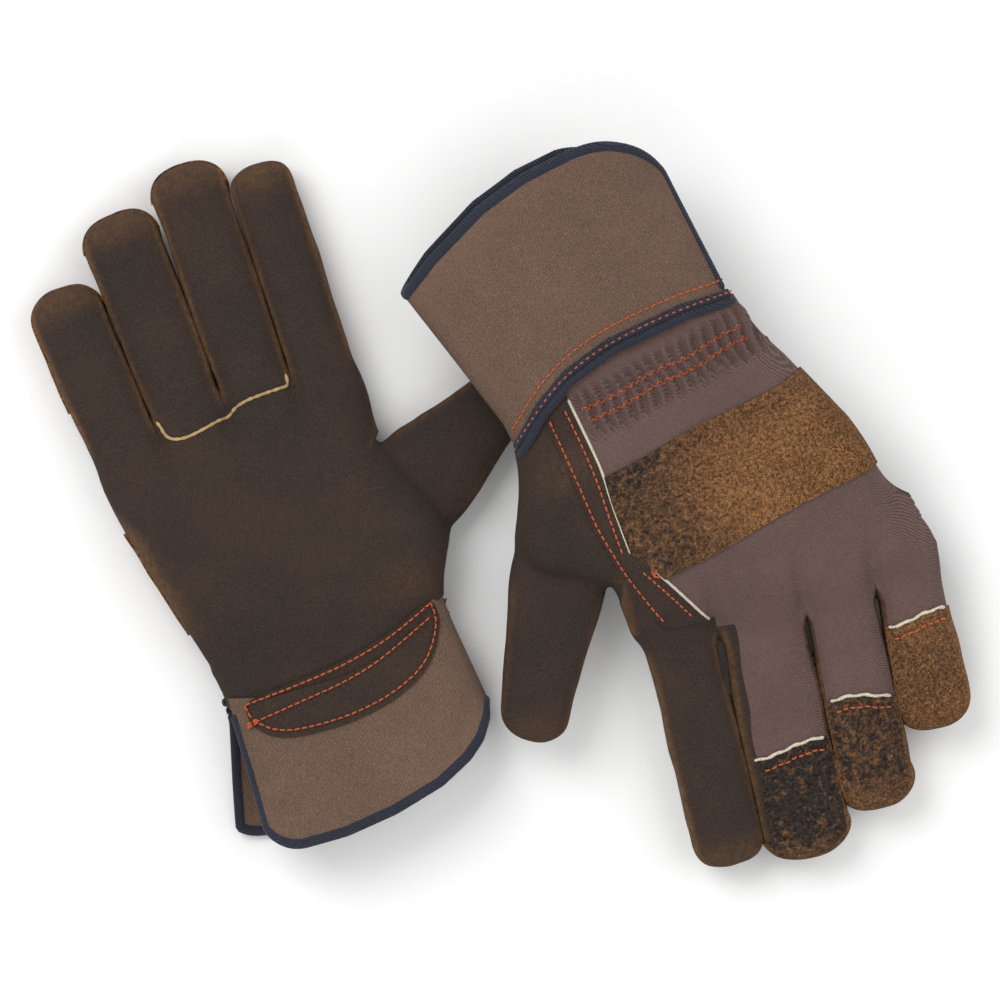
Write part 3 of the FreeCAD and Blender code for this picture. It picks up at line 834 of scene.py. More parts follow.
def leather(name, dark, light, rubbed, clump=1.3, contrast=0.4, painted_hollow_shade=0.72, speck_tone_and_glint=1.9):
    """Napped split leather: painted shade makes it darker in the hollows of the nap and lighter on its tops,
    lighter fibre specks are brightened as painted glints, and it is pale where it is rubbed.
    """
    material, tree, shader, vector, wear = start_material(name, 0.95, 0.02, (0.9, 0.75, 0.6))
    nap = use_group(tree, "split_leather_nap", vector, Clump=clump, Fibre=2.4)
    rub = use_group(tree, "rubbed_places", vector, Wear=wear)
    colour = mix_colour(tree, "MIX", nap.outputs["Stain"], (*dark, 1), (*light, 1))
    # Lighter fibre specks, brightened well past the leather's light colour as painted glints.
    fibres = calculate(tree, "MULTIPLY", nap.outputs["Speck"], contrast)
    colour = mix_colour(tree, "MIX", fibres, colour, (*shade(light, speck_tone_and_glint), 1))
    colour = mix_colour(tree, "MIX", rub.outputs["Mask"], colour, (*rubbed, 1))
    # Painted shade: the colour is darkened in the nap's hollows and lightened on its tops, following the noise
    # that also drives the bump.
    colour = darken(tree, colour, spread(tree, nap.outputs["Nap"], 0, 1, painted_hollow_shade, 1.2), 0.9)
    tree.links.new(colour, shader.inputs["Base Color"])
    bump(tree, shader, nap.outputs["Height"], 0.55, 0.0006)
    return material


def cloth_material(name, base, dark, light, threads, twill=1.0, roughness=0.92, sheen=0.02, grain=0.16,
                   wear_to=None):
    """Woven cloth with uneven yarn, and paler where it is rubbed."""
    material, tree, shader, vector, wear = start_material(name, roughness, sheen)
    weave = use_group(tree, "woven_cloth", vector, Threads=threads, Twill=twill)
    nap = use_group(tree, "split_leather_nap", vector, Clump=0.9, Fibre=3.5)
    colour = mix_colour(tree, "MIX", weave.outputs["Thread"], (*dark, 1), (*light, 1))
    colour = mix_colour(tree, "MIX", 0.12, colour, (*base, 1))
    slub = spread(tree, weave.outputs["Slub"], 0, 1, 0.84, 1.14)
    stain = spread(tree, nap.outputs["Stain"], 0, 1, 0.92, 1.07)
    speck = spread(tree, nap.outputs["Speck"], 0, 1, 1 - grain, 1 + grain)
    both = calculate(tree, "MULTIPLY", calculate(tree, "MULTIPLY", slub, stain), speck)
    colour = darken(tree, colour, both, 1.0)
    if wear_to:
        rub = use_group(tree, "rubbed_places", vector, Wear=wear)
        colour = mix_colour(tree, "MIX", rub.outputs["Mask"], colour, (*wear_to, 1))
    tree.links.new(colour, shader.inputs["Base Color"])
    bump(tree, shader, weave.outputs["Height"], 0.6, 0.0004)
    return material


def colour(field):
    """One of the colours."""
    return tuple(getattr(bpy.context.scene.glove_colours, field))


def shade(values, share):
    """A colour made lighter or darker by a share."""
    return tuple(min(1.0, v * share) for v in values)


def warm(values):
    """A colour turned a little lighter and redder."""
    return tuple(v * share for v, share in zip(values, (1.3, 1.06, 0.9)))


def gauge(name):
    """One of the sizes, in millimetres."""
    return getattr(bpy.context.scene.glove_sizes, name) / MM


def finish(slot_name):
    """The material of one of the record's slots, made when it is first asked for."""
    name = f"{slot_name}_finish"
    if name in bpy.data.materials:
        return bpy.data.materials[name]
    palm, strap, back, cuff = (colour(n) for n in ("palm_leather", "strap_leather", "back_cloth", "cuff_cloth"))
    navy, thread, welt, lining = (colour(n) for n in ("binding", "thread", "welt", "lining"))
    makers = {
        "brown_split_leather": lambda n: leather(n, shade(palm, 0.85), warm(palm), colour("worn_leather")),
        # The tan leather has deeper painted shade in the nap's hollows and brighter painted glints on its fibre
        # specks.
        "tan_split_leather": lambda n: leather(
            n, shade(strap, 0.5), shade(strap, 1.15), palm, clump=0.85, contrast=0.95, painted_hollow_shade=0.25, speck_tone_and_glint=2.5),
        "back_canvas": lambda n: cloth_material(
            n, back, shade(back, 0.5), shade(back, 1.5), 7.0, 0.6, wear_to=shade(back, 1.25)),
        "cuff_canvas": lambda n: cloth_material(
            n, cuff, shade(cuff, 0.6), shade(cuff, 1.3), 7.5, 0.0, grain=0.42, wear_to=shade(cuff, 1.2)),
        "navy_binding": lambda n: cloth_material(
            n, navy, shade(navy, 0.5), shade(navy, 2.4), 5.5, roughness=0.8, sheen=0.1),
        "orange_thread": lambda n: cloth_material(
            n, thread, shade(thread, 0.7), shade(thread, 1.25), 9, roughness=0.6),
        "welt_trim": lambda n: leather(n, shade(welt, 0.7), welt, shade(welt, 1.2), clump=0.6, contrast=0.2),
        "lining_cloth": lambda n: cloth_material(n, lining, shade(lining, 0.8), shade(lining, 1.1), 5.0, 0.0),
        "elastic_tape": lambda n: cloth_material(n, lining, shade(lining, 0.8), shade(lining, 1.2), 4.0, 0.0),
    }
    return makers[slot_name](name)


def colour_property(name, description, default):
    """A colour that can be changed in the panel."""
    return bpy.props.FloatVectorProperty(name=name, description=description, default=default, subtype="COLOR",
                                         size=3, min=0, max=1)


class GloveColours(bpy.types.PropertyGroup):
    """The colours of the pair."""

    palm_leather: colour_property(
        "Palm leather", "Dark split leather of the palms, fingers and thumbs", (0.037, 0.0295, 0.0265))
    worn_leather: colour_property(
        "Worn leather", "Palm leather where it is rubbed along the seams", (0.19, 0.098, 0.042))
    strap_leather: colour_property(
        "Strap leather", "Golden-brown split leather of the knuckle strap and fingertips", (0.17, 0.08, 0.032))
    back_cloth: colour_property("Back cloth", "Cotton twill of the backs of the hands", (0.128, 0.081, 0.073))
    cuff_cloth: colour_property("Cuff cloth", "Rubberised canvas of the cuffs", (0.165, 0.104, 0.075))
    binding: colour_property("Binding", "Woven tape of the hem and the wrist piping", (0.02, 0.022, 0.032))
    thread: colour_property("Thread", "Sewing thread", (0.56, 0.12, 0.045))
    welt: colour_property("Welt", "Raw leather edge in the palm seam", (0.52, 0.36, 0.17))
    lining: colour_property("Lining", "Brushed cotton lining", (0.62, 0.56, 0.44))


# ---------------------------------------------------------------- the cuffs

class Cuff:
    """A glove's stiff cuff: an upper and a lower half, joined on the thumb side and open on the other."""

    BOUND = 1.9

    def __init__(self, glove):
        self.glove = glove
        self.rows = CUFF_SIDES[glove.name]
        self.corner = 14.0 if glove.palm_up else 24.0
        self.raised = 9.0 if glove.palm_up else 0.0
        self.last = min(p[1] for p in CUFF_HEM[glove.name])
        cad = glove.inward(node_points(f"{glove.name}_cuff_front", f"{glove.name}_cuff_back"))
        self.hem_height = (cad[:, 2].max() - cad[:, 2].min()) / 2 - 1.0
        self.skins = {}

    def share(self, y):
        """How far from the wrist to the hem."""
        return np.clip((y - 4) / (self.last - 4), 0, 1)

    def sides(self, y, top):
        """Where a half's open side and its thumb side lie at this height of the plan."""
        little = table(self.rows["little" if top else "splay"], y)
        return little, table(self.rows["thumb"], y)

    def half_height(self, y):
        """Half the cuff's height, from the wrist's to the hem's."""
        wrist = self.glove.hand_height(y) + 0.5
        return wrist + (self.hem_height - wrist) * smooth(self.share(y)) ** 0.9

    def height(self, x, y, top):
        """The skin's height at a point of the plan."""
        little, thumb = self.sides(y, top)
        half, tall = (thumb - little) / 2, self.half_height(y)
        middle = 0.6 + tall
        along = np.clip((x - little) / (thumb - little), 0, 1)
        inward = half * (1 - np.abs(2 * along - 1))
        width = 26 + (16 if top else 4) * self.share(y)
        full = profile(inward, width)
        opened = smooth(self.share(y) * 1.4) * smooth(1 - along * 1.6)
        edge = middle + opened * self.drop_at_slit(top, middle)
        end = middle + tall if top else 0.6
        z = edge + (end - edge) * full
        points = np.stack([x, y, np.zeros_like(x)], 1)
        swell = unevenness(points, self.glove.name + str(top), 34) * 1.1 * smooth(self.share(y) * 3)
        crease = unevenness(points * (1, 0.4, 1), self.glove.name, 13) * 0.35
        lift = (swell + crease) * full * smooth(self.share(y) * 5 + 0.1)
        return z + (lift if top else np.maximum(lift, -0.3))

    def drop_at_slit(self, top, middle):
        """How far the open side's edge lies above the middle: the back laps round, and the front doesn't."""
        if self.glove.palm_up:
            return 2.0 if top else 5.5 - middle
        return -9.0 if top else 5.0 - middle

    def hem(self, x, top, trim=0.0):
        """The hem's place in the plan, with its round corner on the open side."""
        little, _ = self.sides(np.full_like(x, self.last), top)
        shift = (little - self.sides(np.full_like(x, self.last), True)[0]) * smooth((10 - x) / 60)
        base = table(CUFF_HEM[self.glove.name], x - shift) + trim
        if not top:
            base = base + self.raised * smooth((-18 - x) / 36)
        inward = np.clip(x - little - trim, 0, self.corner)
        return base + self.corner - np.sqrt(np.maximum(0, self.corner**2 - (self.corner - inward) ** 2))

    def spot(self, top, across, down, trim=0.0):
        """A point of the plan: across from -1 on the open side to 1 on the thumb side, down from 0 to 1."""
        x = across * 48.0
        for _ in range(12):
            start = table(WRIST_LINE[self.glove.name], x) + 2.0
            y = start + (self.hem(x, top, trim) - start) * down
            little, thumb = self.sides(y, top)
            x = (little + thumb) / 2 + (thumb - little - 2 * trim * (across < 0)) / 2 * across
        return x, y

    def lay(self, x, y, top):
        """Points on the skin at these places of the plan, with the skin's normals."""
        reach = 0.4
        z = self.height(x, y, top)
        little, thumb = self.sides(y, top)
        x_slope = (self.height(x + reach, y, top) - self.height(x - reach, y, top)) / (2 * reach)
        y_slope = (self.height(x, y + reach, top) - self.height(x, y - reach, top)) / (2 * reach)
        sign = 1 if top else -1
        normal = np.stack([-x_slope * sign, -y_slope * sign, np.full_like(x, sign)], 1)
        side = smooth((x - thumb + 1.5) / 1.5) - (smooth((little - x + 1.5) / 1.5) if top else 0)
        normal = normal / np.linalg.norm(normal, axis=1, keepdims=True)
        normal[:, 0] += side * 2.5
        return np.stack([x, y, z], 1), normal / np.linalg.norm(normal, axis=1, keepdims=True)

    def skin(self, top):
        """One half as a grid, close together at its edges."""
        if top in self.skins:
            return self.skins[top]
        columns, rows = int(150 / STEP), int(86 / STEP)
        across = -np.cos(np.linspace(0, math.pi, columns))
        down = np.linspace(0, 1, rows)
        a, d = (v.ravel() for v in np.meshgrid(across, down, indexing="ij"))
        x, y = self.spot(top, a, d, self.BOUND)
        points, normals = self.lay(x, y, top)
        i, j = np.meshgrid(np.arange(columns - 1), np.arange(rows - 1), indexing="ij")
        p, q = i * rows + j, (i + 1) * rows + j
        halves = (p, q + 1, q), (p, p + 1, q + 1)
        triangles = np.vstack([np.stack(half, -1).reshape(-1, 3) for half in halves])
        if not top:
            triangles = triangles[:, ::-1]
        wear = 0.5 * smooth((d - 0.72) / 0.28) * smooth((a + 0.2) / 1.2) + 0.3 * smooth((a - 0.75) / 0.25)
        skin = Skin(np.concatenate([points, normals, wear[:, None]], 1), triangles).with_normals()
        self.skins[top] = skin
        return skin

    def edge(self, top, trim, start=0.10):
        """The path of the bound edge: down the open side, round the corner and along the hem."""
        down = np.linspace(start, 1, 26)[:-1]
        across = -np.cos(np.linspace(0, math.pi, 90))
        a = np.concatenate([np.full(len(down), -1.0), across])
        d = np.concatenate([down, np.ones(len(across))])
        x, y = self.spot(top, a, d, trim)
        return self.lay(x, y, top)


def skin_at(glove, cuff, plan, palm_side):
    """Points of the plan laid on the palm side or the back, on the hand or on the cuff, with their normals."""
    plan = np.array(plan, float)
    top = palm_side == glove.palm_up
    points, normals = glove.drop(plan, top)
    past = plan[:, 1] - table(WRIST_LINE[glove.name], plan[:, 0])
    cuff_points, cuff_normals = cuff.lay(plan[:, 0], plan[:, 1], top)
    further = (cuff_points[:, 2] - points[:, 2]) * (1 if top else -1)
    lower = (past < 0) & ((further > 0) | (past < -8)) | (past < 8) & (further > 0)
    points[lower], normals[lower] = cuff_points[lower], cuff_normals[lower]
    return points, normals


# ---------------------------------------------------------------- the pieces

MADE = {}


def pair():
    """Both gloves' forms, worked out once."""
    if not MADE:
        for name in GLOVES:
            glove = Glove(name)
            glove.cuff = Cuff(glove)
            glove.skin = surface(glove)
            for stall in glove.order:
                stall.skin = surface(glove, stall)
            rub(glove)
            MADE[name] = glove
    return [MADE[name] for name in GLOVES]


def rub(glove):
    """Marks where the leather and cloth are rubbed: finger edges and tips, and the sides of the hand."""
    x, y, _ = glove.skin.place.T
    inward = -outline_distance(glove.outline, x, y)
    covered = np.min([s.flat_field(x, y) for s in glove.order], 0)
    edge = np.exp(-((inward / 4.5) ** 2)) * 0.9 * smooth((y - 20) / 30) * smooth((covered - 0.95) / 0.3)
    heel = 0.3 * np.exp(-(((x - 38) / 14) ** 2) - ((y - 20) / 9) ** 2)
    glove.skin.rows[:, 6] = np.clip(edge + heel, 0, 1)
    for stall in glove.order:
        across, far = stall.plan(*stall.skin.place[:, :2].T)
        side = np.abs(across) / stall.half_width(far)
        edge = np.exp(-(((side - 0.95) / 0.09) ** 2)) * 1.1
        tip = smooth((far - stall.length + 16) / 14) * 0.5
        if stall.name == "thumb":
            edge, tip = edge * 0.4, tip * 0.5
        stall.skin.rows[:, 6] = np.clip((edge + tip) * smooth(far / 12), 0, 1)


def palmward(glove, skin, middle):
    """How far a skin's points lie to the palm's side of the middle."""
    return (skin.place[:, 2] - middle) * (1 if glove.palm_up else -1)


def side_sets(glove, stall):
    """Above zero inside the side strip, and below zero outside it, on each point of a stall's skin."""
    across, far = stall.plan(*stall.skin.place[:, :2].T)
    height = stall.half_height(far)
    off = palmward(glove, stall.skin, stall.middle(far))
    strip = 0.50 * height * smooth((stall.length - 5 - far) / 14) - np.abs(off + 0.16 * height)
    strip = np.minimum(strip, far - 0.5)
    if stall.name == "index":
        strip = np.minimum(strip, -across)
    if stall.name == "little":
        strip = np.minimum(strip, across)
    if stall.flange:
        edge = across - stall.half_width(far) + stall.flange + 0.6 * np.sin(far * 0.22)
        edge = np.minimum(np.minimum(edge, -off), np.minimum((far - 3) * 0.35, (stall.length - 9 - far) * 0.5))
        strip = np.maximum(strip, edge)
    return strip, off, across, far


def make_stall(glove, stall):
    """A finger or thumb: its front, its back, its side strip and its leather tip."""
    label = f"{glove.name}_{stall.name}"
    strip, off, across, far = side_sets(glove, stall)
    if stall.name == "thumb":
        split = off + 0.25 * stall.half_height(far)
        fronts, backs = stall.skin.clip(split), stall.skin.clip(-split)
    else:
        fronts = stall.skin.clip(np.minimum(off, -strip))
        backs = stall.skin.clip(np.minimum(-off, -strip))
        sewn = thicken(stall.skin.clip(strip), -0.1, gauge("leather"))
        side = make_object(glove, f"{label}_side_strip", [sewn], "brown_split_leather", stall)
        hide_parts(f"{label}_side_strip")
    front = make_object(glove, f"{label}_front", [thicken(fronts, 0, gauge("leather"))], "brown_split_leather",
                        stall, "lining_cloth")
    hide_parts(f"{label}_front")
    cloth = stall.name in CAPPED
    back = make_object(glove, f"{label}_back", [thicken(backs, 0, gauge("leather"))],
                       "back_canvas" if cloth else "brown_split_leather", stall, "lining_cloth")
    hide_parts(f"{label}_back")
    if not cloth:
        return
    start = cap_start(glove, stall)
    line = far - start - cap_wave(stall, across)
    value = np.minimum(line, np.minimum(-off + 0.2, -strip + 0.3))
    value = np.where(line > 0, value, line)
    leather_tip = stall.skin.clip(value)
    rubbed = leather_tip.rows[:, 6]
    leather_tip.rows[:, 6] = CAP_SOIL[stall.name] * (1.1 - rubbed)
    cap = make_object(glove, f"{label}_tip_cap", [thicken(leather_tip, 0.9, 0.05)],
                      "tan_split_leather", stall)
    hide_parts(f"{label}_tip_cap")


def cap_start(glove, stall):
    """Where the leather tip begins along the finger, as its CAD node has it."""
    points = glove.inward(node_points(f"{glove.name}_{stall.name}_tip_cap"))
    return ((points[:, :2] - stall.origin) @ stall.along).min()


def cap_wave(stall, across):
    """The cap's edge isn't quite straight across the finger."""
    return 1.8 * np.sin(across / stall.half * 2.1 + len(stall.name)) + 0.22 * np.sin(across * 0.9)


def make_hand(glove):
    """The palm, the back, and the strap and panel sewn to the back."""
    x, y, _ = glove.skin.place.T
    skin = glove.skin.clip(y - table(WRIST_LINE[glove.name], x) + 1.5)
    x, y, _ = skin.place.T
    off = palmward(glove, skin, glove.hand_middle(y))
    back_side = np.minimum(-off - 0.5, table(WELT_LINE, y) - x)
    palm = make_object(glove, f"{glove.name}_palm", [thicken(skin.clip(-back_side), 0, gauge("leather"))],
                       "brown_split_leather", f"{glove.name}_hand", "lining_cloth")
    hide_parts(f"{glove.name}_palm")
    cloth = skin.clip(back_side)
    back = make_object(glove, f"{glove.name}_back", [thicken(cloth, 0, gauge("canvas"))], "back_canvas",
                       f"{glove.name}_hand", "lining_cloth")
    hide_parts(f"{glove.name}_back")
    x, y, _ = cloth.place.T
    low, high = strap_edges(glove, x)
    leather_band = cloth.clip(np.minimum(y - low, high - y))
    x, y, _ = leather_band.place.T
    soil = 0.95 * smooth((x + 22) / 40) + 0.35 * smooth((44 - y) / 12) + 0.2
    leather_band.rows[:, 6] = soil
    strap = make_object(glove, f"{glove.name}_knuckle_strap", [thicken(leather_band, gauge("overlay"), 0.05)],
                        "tan_split_leather", f"{glove.name}_hand")
    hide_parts(f"{glove.name}_knuckle_strap")
    x, y, _ = skin.place.T
    strip = np.minimum(x - table(WELT_LINE, y), table(THUMB_ROW, y) + 1.6 - x)
    strip = np.minimum(strip, -off - 2)
    panel = make_object(glove, f"{glove.name}_thumb_side_panel", [thicken(skin.clip(strip), 0.55, 0.05)],
                        "brown_split_leather", f"{glove.name}_hand")
    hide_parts(f"{glove.name}_thumb_side_panel")
    lining = np.minimum(np.minimum(y - 20, 84 - y), off - 6)
    made = make_object(glove, f"{glove.name}_palm_lining",
                       [thicken(skin.clip(lining), -gauge("leather") - 0.15, gauge("leather") + 0.75)],
                       "lining_cloth", f"{glove.name}_hand")
    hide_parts(f"{glove.name}_palm_lining")
    x, y, _ = cloth.place.T
    tape = np.minimum(np.minimum(y - 0.5, 12.5 - y), palm_free(glove, cloth))
    made = make_object(glove, f"{glove.name}_wrist_elastic",
                       [thicken(cloth.clip(tape), -gauge("canvas") - 0.15, gauge("canvas") + 0.85)],
                       "elastic_tape", f"{glove.name}_hand")
    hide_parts(f"{glove.name}_wrist_elastic")


def palm_free(glove, cloth):
    """Above zero on the part of the back that isn't its turned edge."""
    return -palmward(glove, cloth, glove.hand_middle(cloth.place[:, 1])) - 3


def strap_edges(glove, x):
    """The lower and upper edge of the knuckle strap, as its CAD node has them, a little uneven."""
    points = glove.inward(node_points(f"{glove.name}_knuckle_strap"))
    low = points[:, 1].min() + 0.5 * np.sin(x * 0.11)
    return low, points[:, 1].max() + 1.2 + 0.7 * np.sin(x * 0.07 + 1)


def make_cuff(glove):
    """The two halves of the cuff."""
    cuff = glove.cuff
    for top in (True, False):
        word = "front" if top == glove.palm_up else "back"
        half = make_object(glove, f"{glove.name}_cuff_{word}", [thicken(cuff.skin(top), 0, gauge("canvas"))],
                           "cuff_canvas", f"{glove.name}_hand")
        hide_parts(f"{glove.name}_cuff_{word}")


def make_binding(glove):
    """The tape folded over the hem and the open side, and the piping round the wrist."""
    cuff = glove.cuff
    upper, upper_normals = cuff.edge(True, cuff.BOUND)
    lower, lower_normals = cuff.edge(False, cuff.BOUND)
    path = np.vstack([upper[:-1], lower[::-1]])
    normals = np.vstack([upper_normals[:-1], lower_normals[::-1]])
    path = path - normals * gauge("canvas") / 2
    tape = tube(path, normals, gauge("binding") / 2, gauge("canvas") / 2 + 0.75, sides=12)
    made = make_object(glove, f"{glove.name}_cuff_binding", [tape], "navy_binding", f"{glove.name}_hand")
    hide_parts(f"{glove.name}_cuff_binding")
    back_top = not glove.palm_up
    parts = []
    for offset, wide, tall in ((0.4, 1.7, 1.6), (-3.0, 1.6, 1.1)):
        across = -np.cos(np.linspace(0.22, math.pi - 0.16, 90))
        x, y = cuff.spot(back_top, across, np.zeros(len(across)))
        path, normals = cuff.lay(x, y + offset - 2.0, back_top)
        parts.append(tube(path + normals * 0.5, normals, wide, tall, sides=12))
    made = make_object(glove, f"{glove.name}_wrist_piping", parts, "navy_binding", f"{glove.name}_hand")
    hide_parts(f"{glove.name}_wrist_piping")


def patch_rows(glove):
    """The upper and lower stitched rows of the leather patch on the palm's side of the wrist."""
    stretch = PATCH_STRETCH[glove.name]
    rows = ([(-40, -3.5), (-20, -3), (0, -2), (20, 2), (40, 10)],
            [(-39, -11), (-20, -9.5), (0, -8), (15, -5), (38, 5)])
    return [[(x * stretch, y) for x, y in row] for row in rows]


def make_patch(glove):
    """The half-moon leather patch over the palm's side of the wrist."""
    stretch = PATCH_STRETCH[glove.name]
    upper = patch_rows(glove)[0]
    edge = [(x * stretch, y) for x, y in PATCH_EDGE]
    outline = rounded([(x, y + 1.6) for x, y in upper[::-1]] + edge[:-1], 2)
    top = glove.palm_up
    parts = []
    x, y, _ = glove.skin.place.T
    hand = glove.skin.clip(y - table(WRIST_LINE[glove.name], x) - 0.2)
    hand = hand.clip(palmward(glove, hand, glove.hand_middle(hand.place[:, 1])) - 2)
    cuff = glove.cuff.skin(top)
    for skin, out in ((hand, 1.3), (cuff, 0.85)):
        inside = -outline_distance(outline, *skin.place[:, :2].T)
        piece = skin.clip(inside)
        if len(piece.triangles):
            piece.rows[:, 6] = 0.05
            parts.append(thicken(piece, out, 0.05))
    made = make_object(glove, f"{glove.name}_wrist_patch", parts, "brown_split_leather", f"{glove.name}_hand")
    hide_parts(f"{glove.name}_wrist_patch")


def cap_row(glove, stall, share, past=0.0):
    """Places across a finger, and the skin there, along the edge of its leather tip or so far past it."""
    across = np.linspace(-stall.half * share, stall.half * share, 50)
    far = cap_start(glove, stall) + cap_wave(stall, across) + past
    plan = stall.origin + stall.side * across[:, None] + stall.along * far[:, None]
    return across, *glove.drop(plan, not glove.palm_up, stall)


def make_welts(glove):
    """The raw leather edges that show in the seams of the palm, the back and the fingertips."""
    ring, long = glove.stalls["ring"], glove.stalls["middle"]
    route = [(ring, -ring.half + 1.2, 6), (ring, -ring.half + 2.2, 0), (ring, -ring.half + 5, -3),
             (ring, -2, -4), (ring, ring.half - 3, -2.2), (long, -long.half + 6, 0.6), (long, 0, 1.4),
             (long, long.half - 2.5, 1.2), (long, long.half - 0.8, 3), (long, long.half - 1.2, 6)]
    plan = eased([s.origin + s.side * a + s.along * f for s, a, f in route], 80)
    points, normals = glove.drop(plan, glove.palm_up)
    thick = 0.62 + 0.16 * np.sin(np.arange(len(points)) * 1.7) * np.sin(np.arange(len(points)) * 0.31)
    cord = tube(points + normals * 0.25, normals, thick, thick)
    made = make_object(glove, f"{glove.name}_finger_seam_welt", [cord], "welt_trim", f"{glove.name}_hand")
    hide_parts(f"{glove.name}_finger_seam_welt")
    parts = []
    lower_edge = [(x, y) for y, x in WELT_LINE[1:5]]
    for route in (lower_edge, [(27.5, 63), (24.5, 72), (19.5, 86), (15.5, 98)]):
        plan = eased(route, 70)
        points, normals = glove.drop(plan, not glove.palm_up)
        parts.append(tube(points + normals * 0.3, normals, 0.6, 0.6))
    make_object(glove, f"{glove.name}_side_panel_welt", parts, "lining_cloth", f"{glove.name}_hand")
    for name in CAPPED:
        stall = glove.stalls[name]
        across, points, normals = cap_row(glove, stall, 0.84)
        size = 0.62 + 0.16 * np.sin(across * 1.3 + 2) * np.sin(across * 0.57)
        make_object(glove, f"{glove.name}_{name}_cap_welt", [tube(points + normals * 0.7, normals, size, size)],
                    "lining_cloth", stall)


def make_stitching(glove):
    """The rows of orange thread on the hand, the cuff and the fingertips."""
    cuff, parts = glove.cuff, []

    def row(plan, palm_side, lift=0.15, **sizes):
        """Adds a row of thread along a line of the plan."""
        points, normals = skin_at(glove, cuff, plan, palm_side)
        parts.extend(stitches(points + normals * lift, normals, **sizes))

    upper, lower = patch_rows(glove)
    row(eased(upper, 120), True, 1.75)
    row(eased(lower, 120), True, 1.75)
    stretch = PATCH_STRETCH[glove.name]
    inner = [(x * stretch * 0.955, y * 0.9 + 0.3) for x, y in PATCH_EDGE]
    row(eased(inner, 120), True, 1.75)
    end_x, end_y = lower[0]
    row(eased([upper[0], ((upper[0][0] + end_x) / 2, -7), lower[0]], 20), True, 1.75)
    for shift in (-0.7, 0, 0.7):
        row([(end_x - 3, end_y + shift - 0.6), (end_x + 4, end_y + shift + 0.6)], True, 1.8)
    for middle in (3.5, 8.3):
        x = np.arange(-43 if glove.palm_up else -48, 22, 0.9)
        plan = np.stack([x, middle + 0.8 * np.sin(x * 2.1) + 0.5 * np.sin(x * 0.2)], 1)
        row(plan, False, 0.2, length=1.7, gap=0.5, width=0.36)
    wrist = np.array(WRIST_LINE[glove.name], float)
    for down in (3.2, 8.6):
        plan = eased(wrist - (0, down), 140)
        plan = plan[(plan[:, 0] > wrist[0, 0] + 1) & (plan[:, 0] < wrist[-1, 0] - 1)]
        row(plan, False, 1.2 if down < 5 else 0.15)
    row(eased([(table(WELT_LINE, y) + 2.9, y) for y in (0, 15, 30, 45, 60)], 90), False, 0.7)
    row(eased([(table(THUMB_ROW, y), y) for y in (1, 15, 30, 45, 55, 65, 78, 90)], 120), False, 0.7)
    row(eased([(table(WELT_LINE, y) + 3.4, y) for y in (68, 78, 88, 94)], 50), False, 0.6, length=1.8)
    for dx, dy in ((2.4, 2.2), (2.4, -2.2), (0, 2.8)):
        row([(26.5 - dx, 71.5 - dy), (26.5 + dx, 71.5 + dy)], False, 0.7, length=3.5)
    made = make_object(glove, f"{glove.name}_stitching", parts, "orange_thread", f"{glove.name}_hand")
    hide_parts(f"{glove.name}_stitching")
    for name in CAPPED:
        stall = glove.stalls[name]
        _, points, normals = cap_row(glove, stall, 0.8, 4.6)
        make_object(glove, f"{glove.name}_{name}_cap_stitching", stitches(points + normals * 1.0, normals),
                    "orange_thread", stall)


# ---------------------------------------------------------------- the stage

def make_stage():
    """A pale floor, soft studio light, and the camera straight above the pair."""
    scene = bpy.context.scene
    right = pair()[0]
    floor_mesh = bpy.data.meshes.new("floor")
    far, gap = 6.0, 0.0004
    floor_mesh.from_pydata([(-far, -far, 0), (far, -far, 0), (far, far, 0), (-far, far, 0)], [], [(0, 1, 2, 3)])
    floor = bpy.data.objects.new("floor", floor_mesh)
    floor.location.z = CAD_BOX[0][2] - gap
    scene.collection.objects.link(floor)
    material = bpy.data.materials.new("pale_floor")
    material.use_nodes = True
    shader = material.node_tree.nodes["Principled BSDF"]
    shader.inputs["Base Color"].default_value = (0.86, 0.86, 0.86, 1)
    shader.inputs["Roughness"].default_value = 0.9
    floor_mesh.materials.append(material)
    aim = Vector(right.outward(np.array([78.2, 37.1, 12.0])))
    turned = math.radians(20)
    up = Vector((math.sin(turned), math.cos(turned), 0))
    across = up.cross(Vector((0, 0, 1)))
    for name, place, size, power in (("key_light", -0.9 * across + 0.9 * up + Vector((0, 0, 1.7)), 1.3, 26),
                                     ("fill_light", 1.2 * across + 0.2 * up + Vector((0, 0, 1.5)), 1.6, 13),
                                     ("low_light", -0.3 * across - 1.4 * up + Vector((0, 0, 1.2)), 1.4, 8)):
        lamp = bpy.data.lights.new(name, "AREA")
        lamp.size, lamp.energy = size, power
        light = bpy.data.objects.new(name, lamp)
        light.location = aim + place
        light.rotation_euler = (-place).to_track_quat("-Z", "Y").to_euler()
        scene.collection.objects.link(light)
    world = bpy.data.worlds.new("studio")
    world.use_nodes = True
    background = world.node_tree.nodes["Background"]
    background.inputs["Color"].default_value = (1, 1, 1, 1)
    background.inputs["Strength"].default_value = 0.55
    scene.world = world
    distance, field = 2.6, 0.385
    camera = bpy.data.cameras.new("camera")
    camera.sensor_width = 36
    camera.lens = camera.sensor_width * distance / field
    camera.clip_end = 20
    seen = bpy.data.objects.new("camera", camera)
    seen.matrix_world = Matrix.Translation(aim + Vector((0, 0, distance))) @ Matrix(
        (across, up, (0, 0, 1))).transposed().to_4x4()
    scene.collection.objects.link(seen)
    scene.camera = seen
    scene.view_settings.view_transform = "Standard"


# ---------------------------------------------------------------- the add-on

def size_property(name, description, default, low, high):
    """A length in metres that can be changed in the panel."""
    return bpy.props.FloatProperty(name=name, description=description, default=default, min=low, max=high,
                                   subtype="DISTANCE", precision=4)


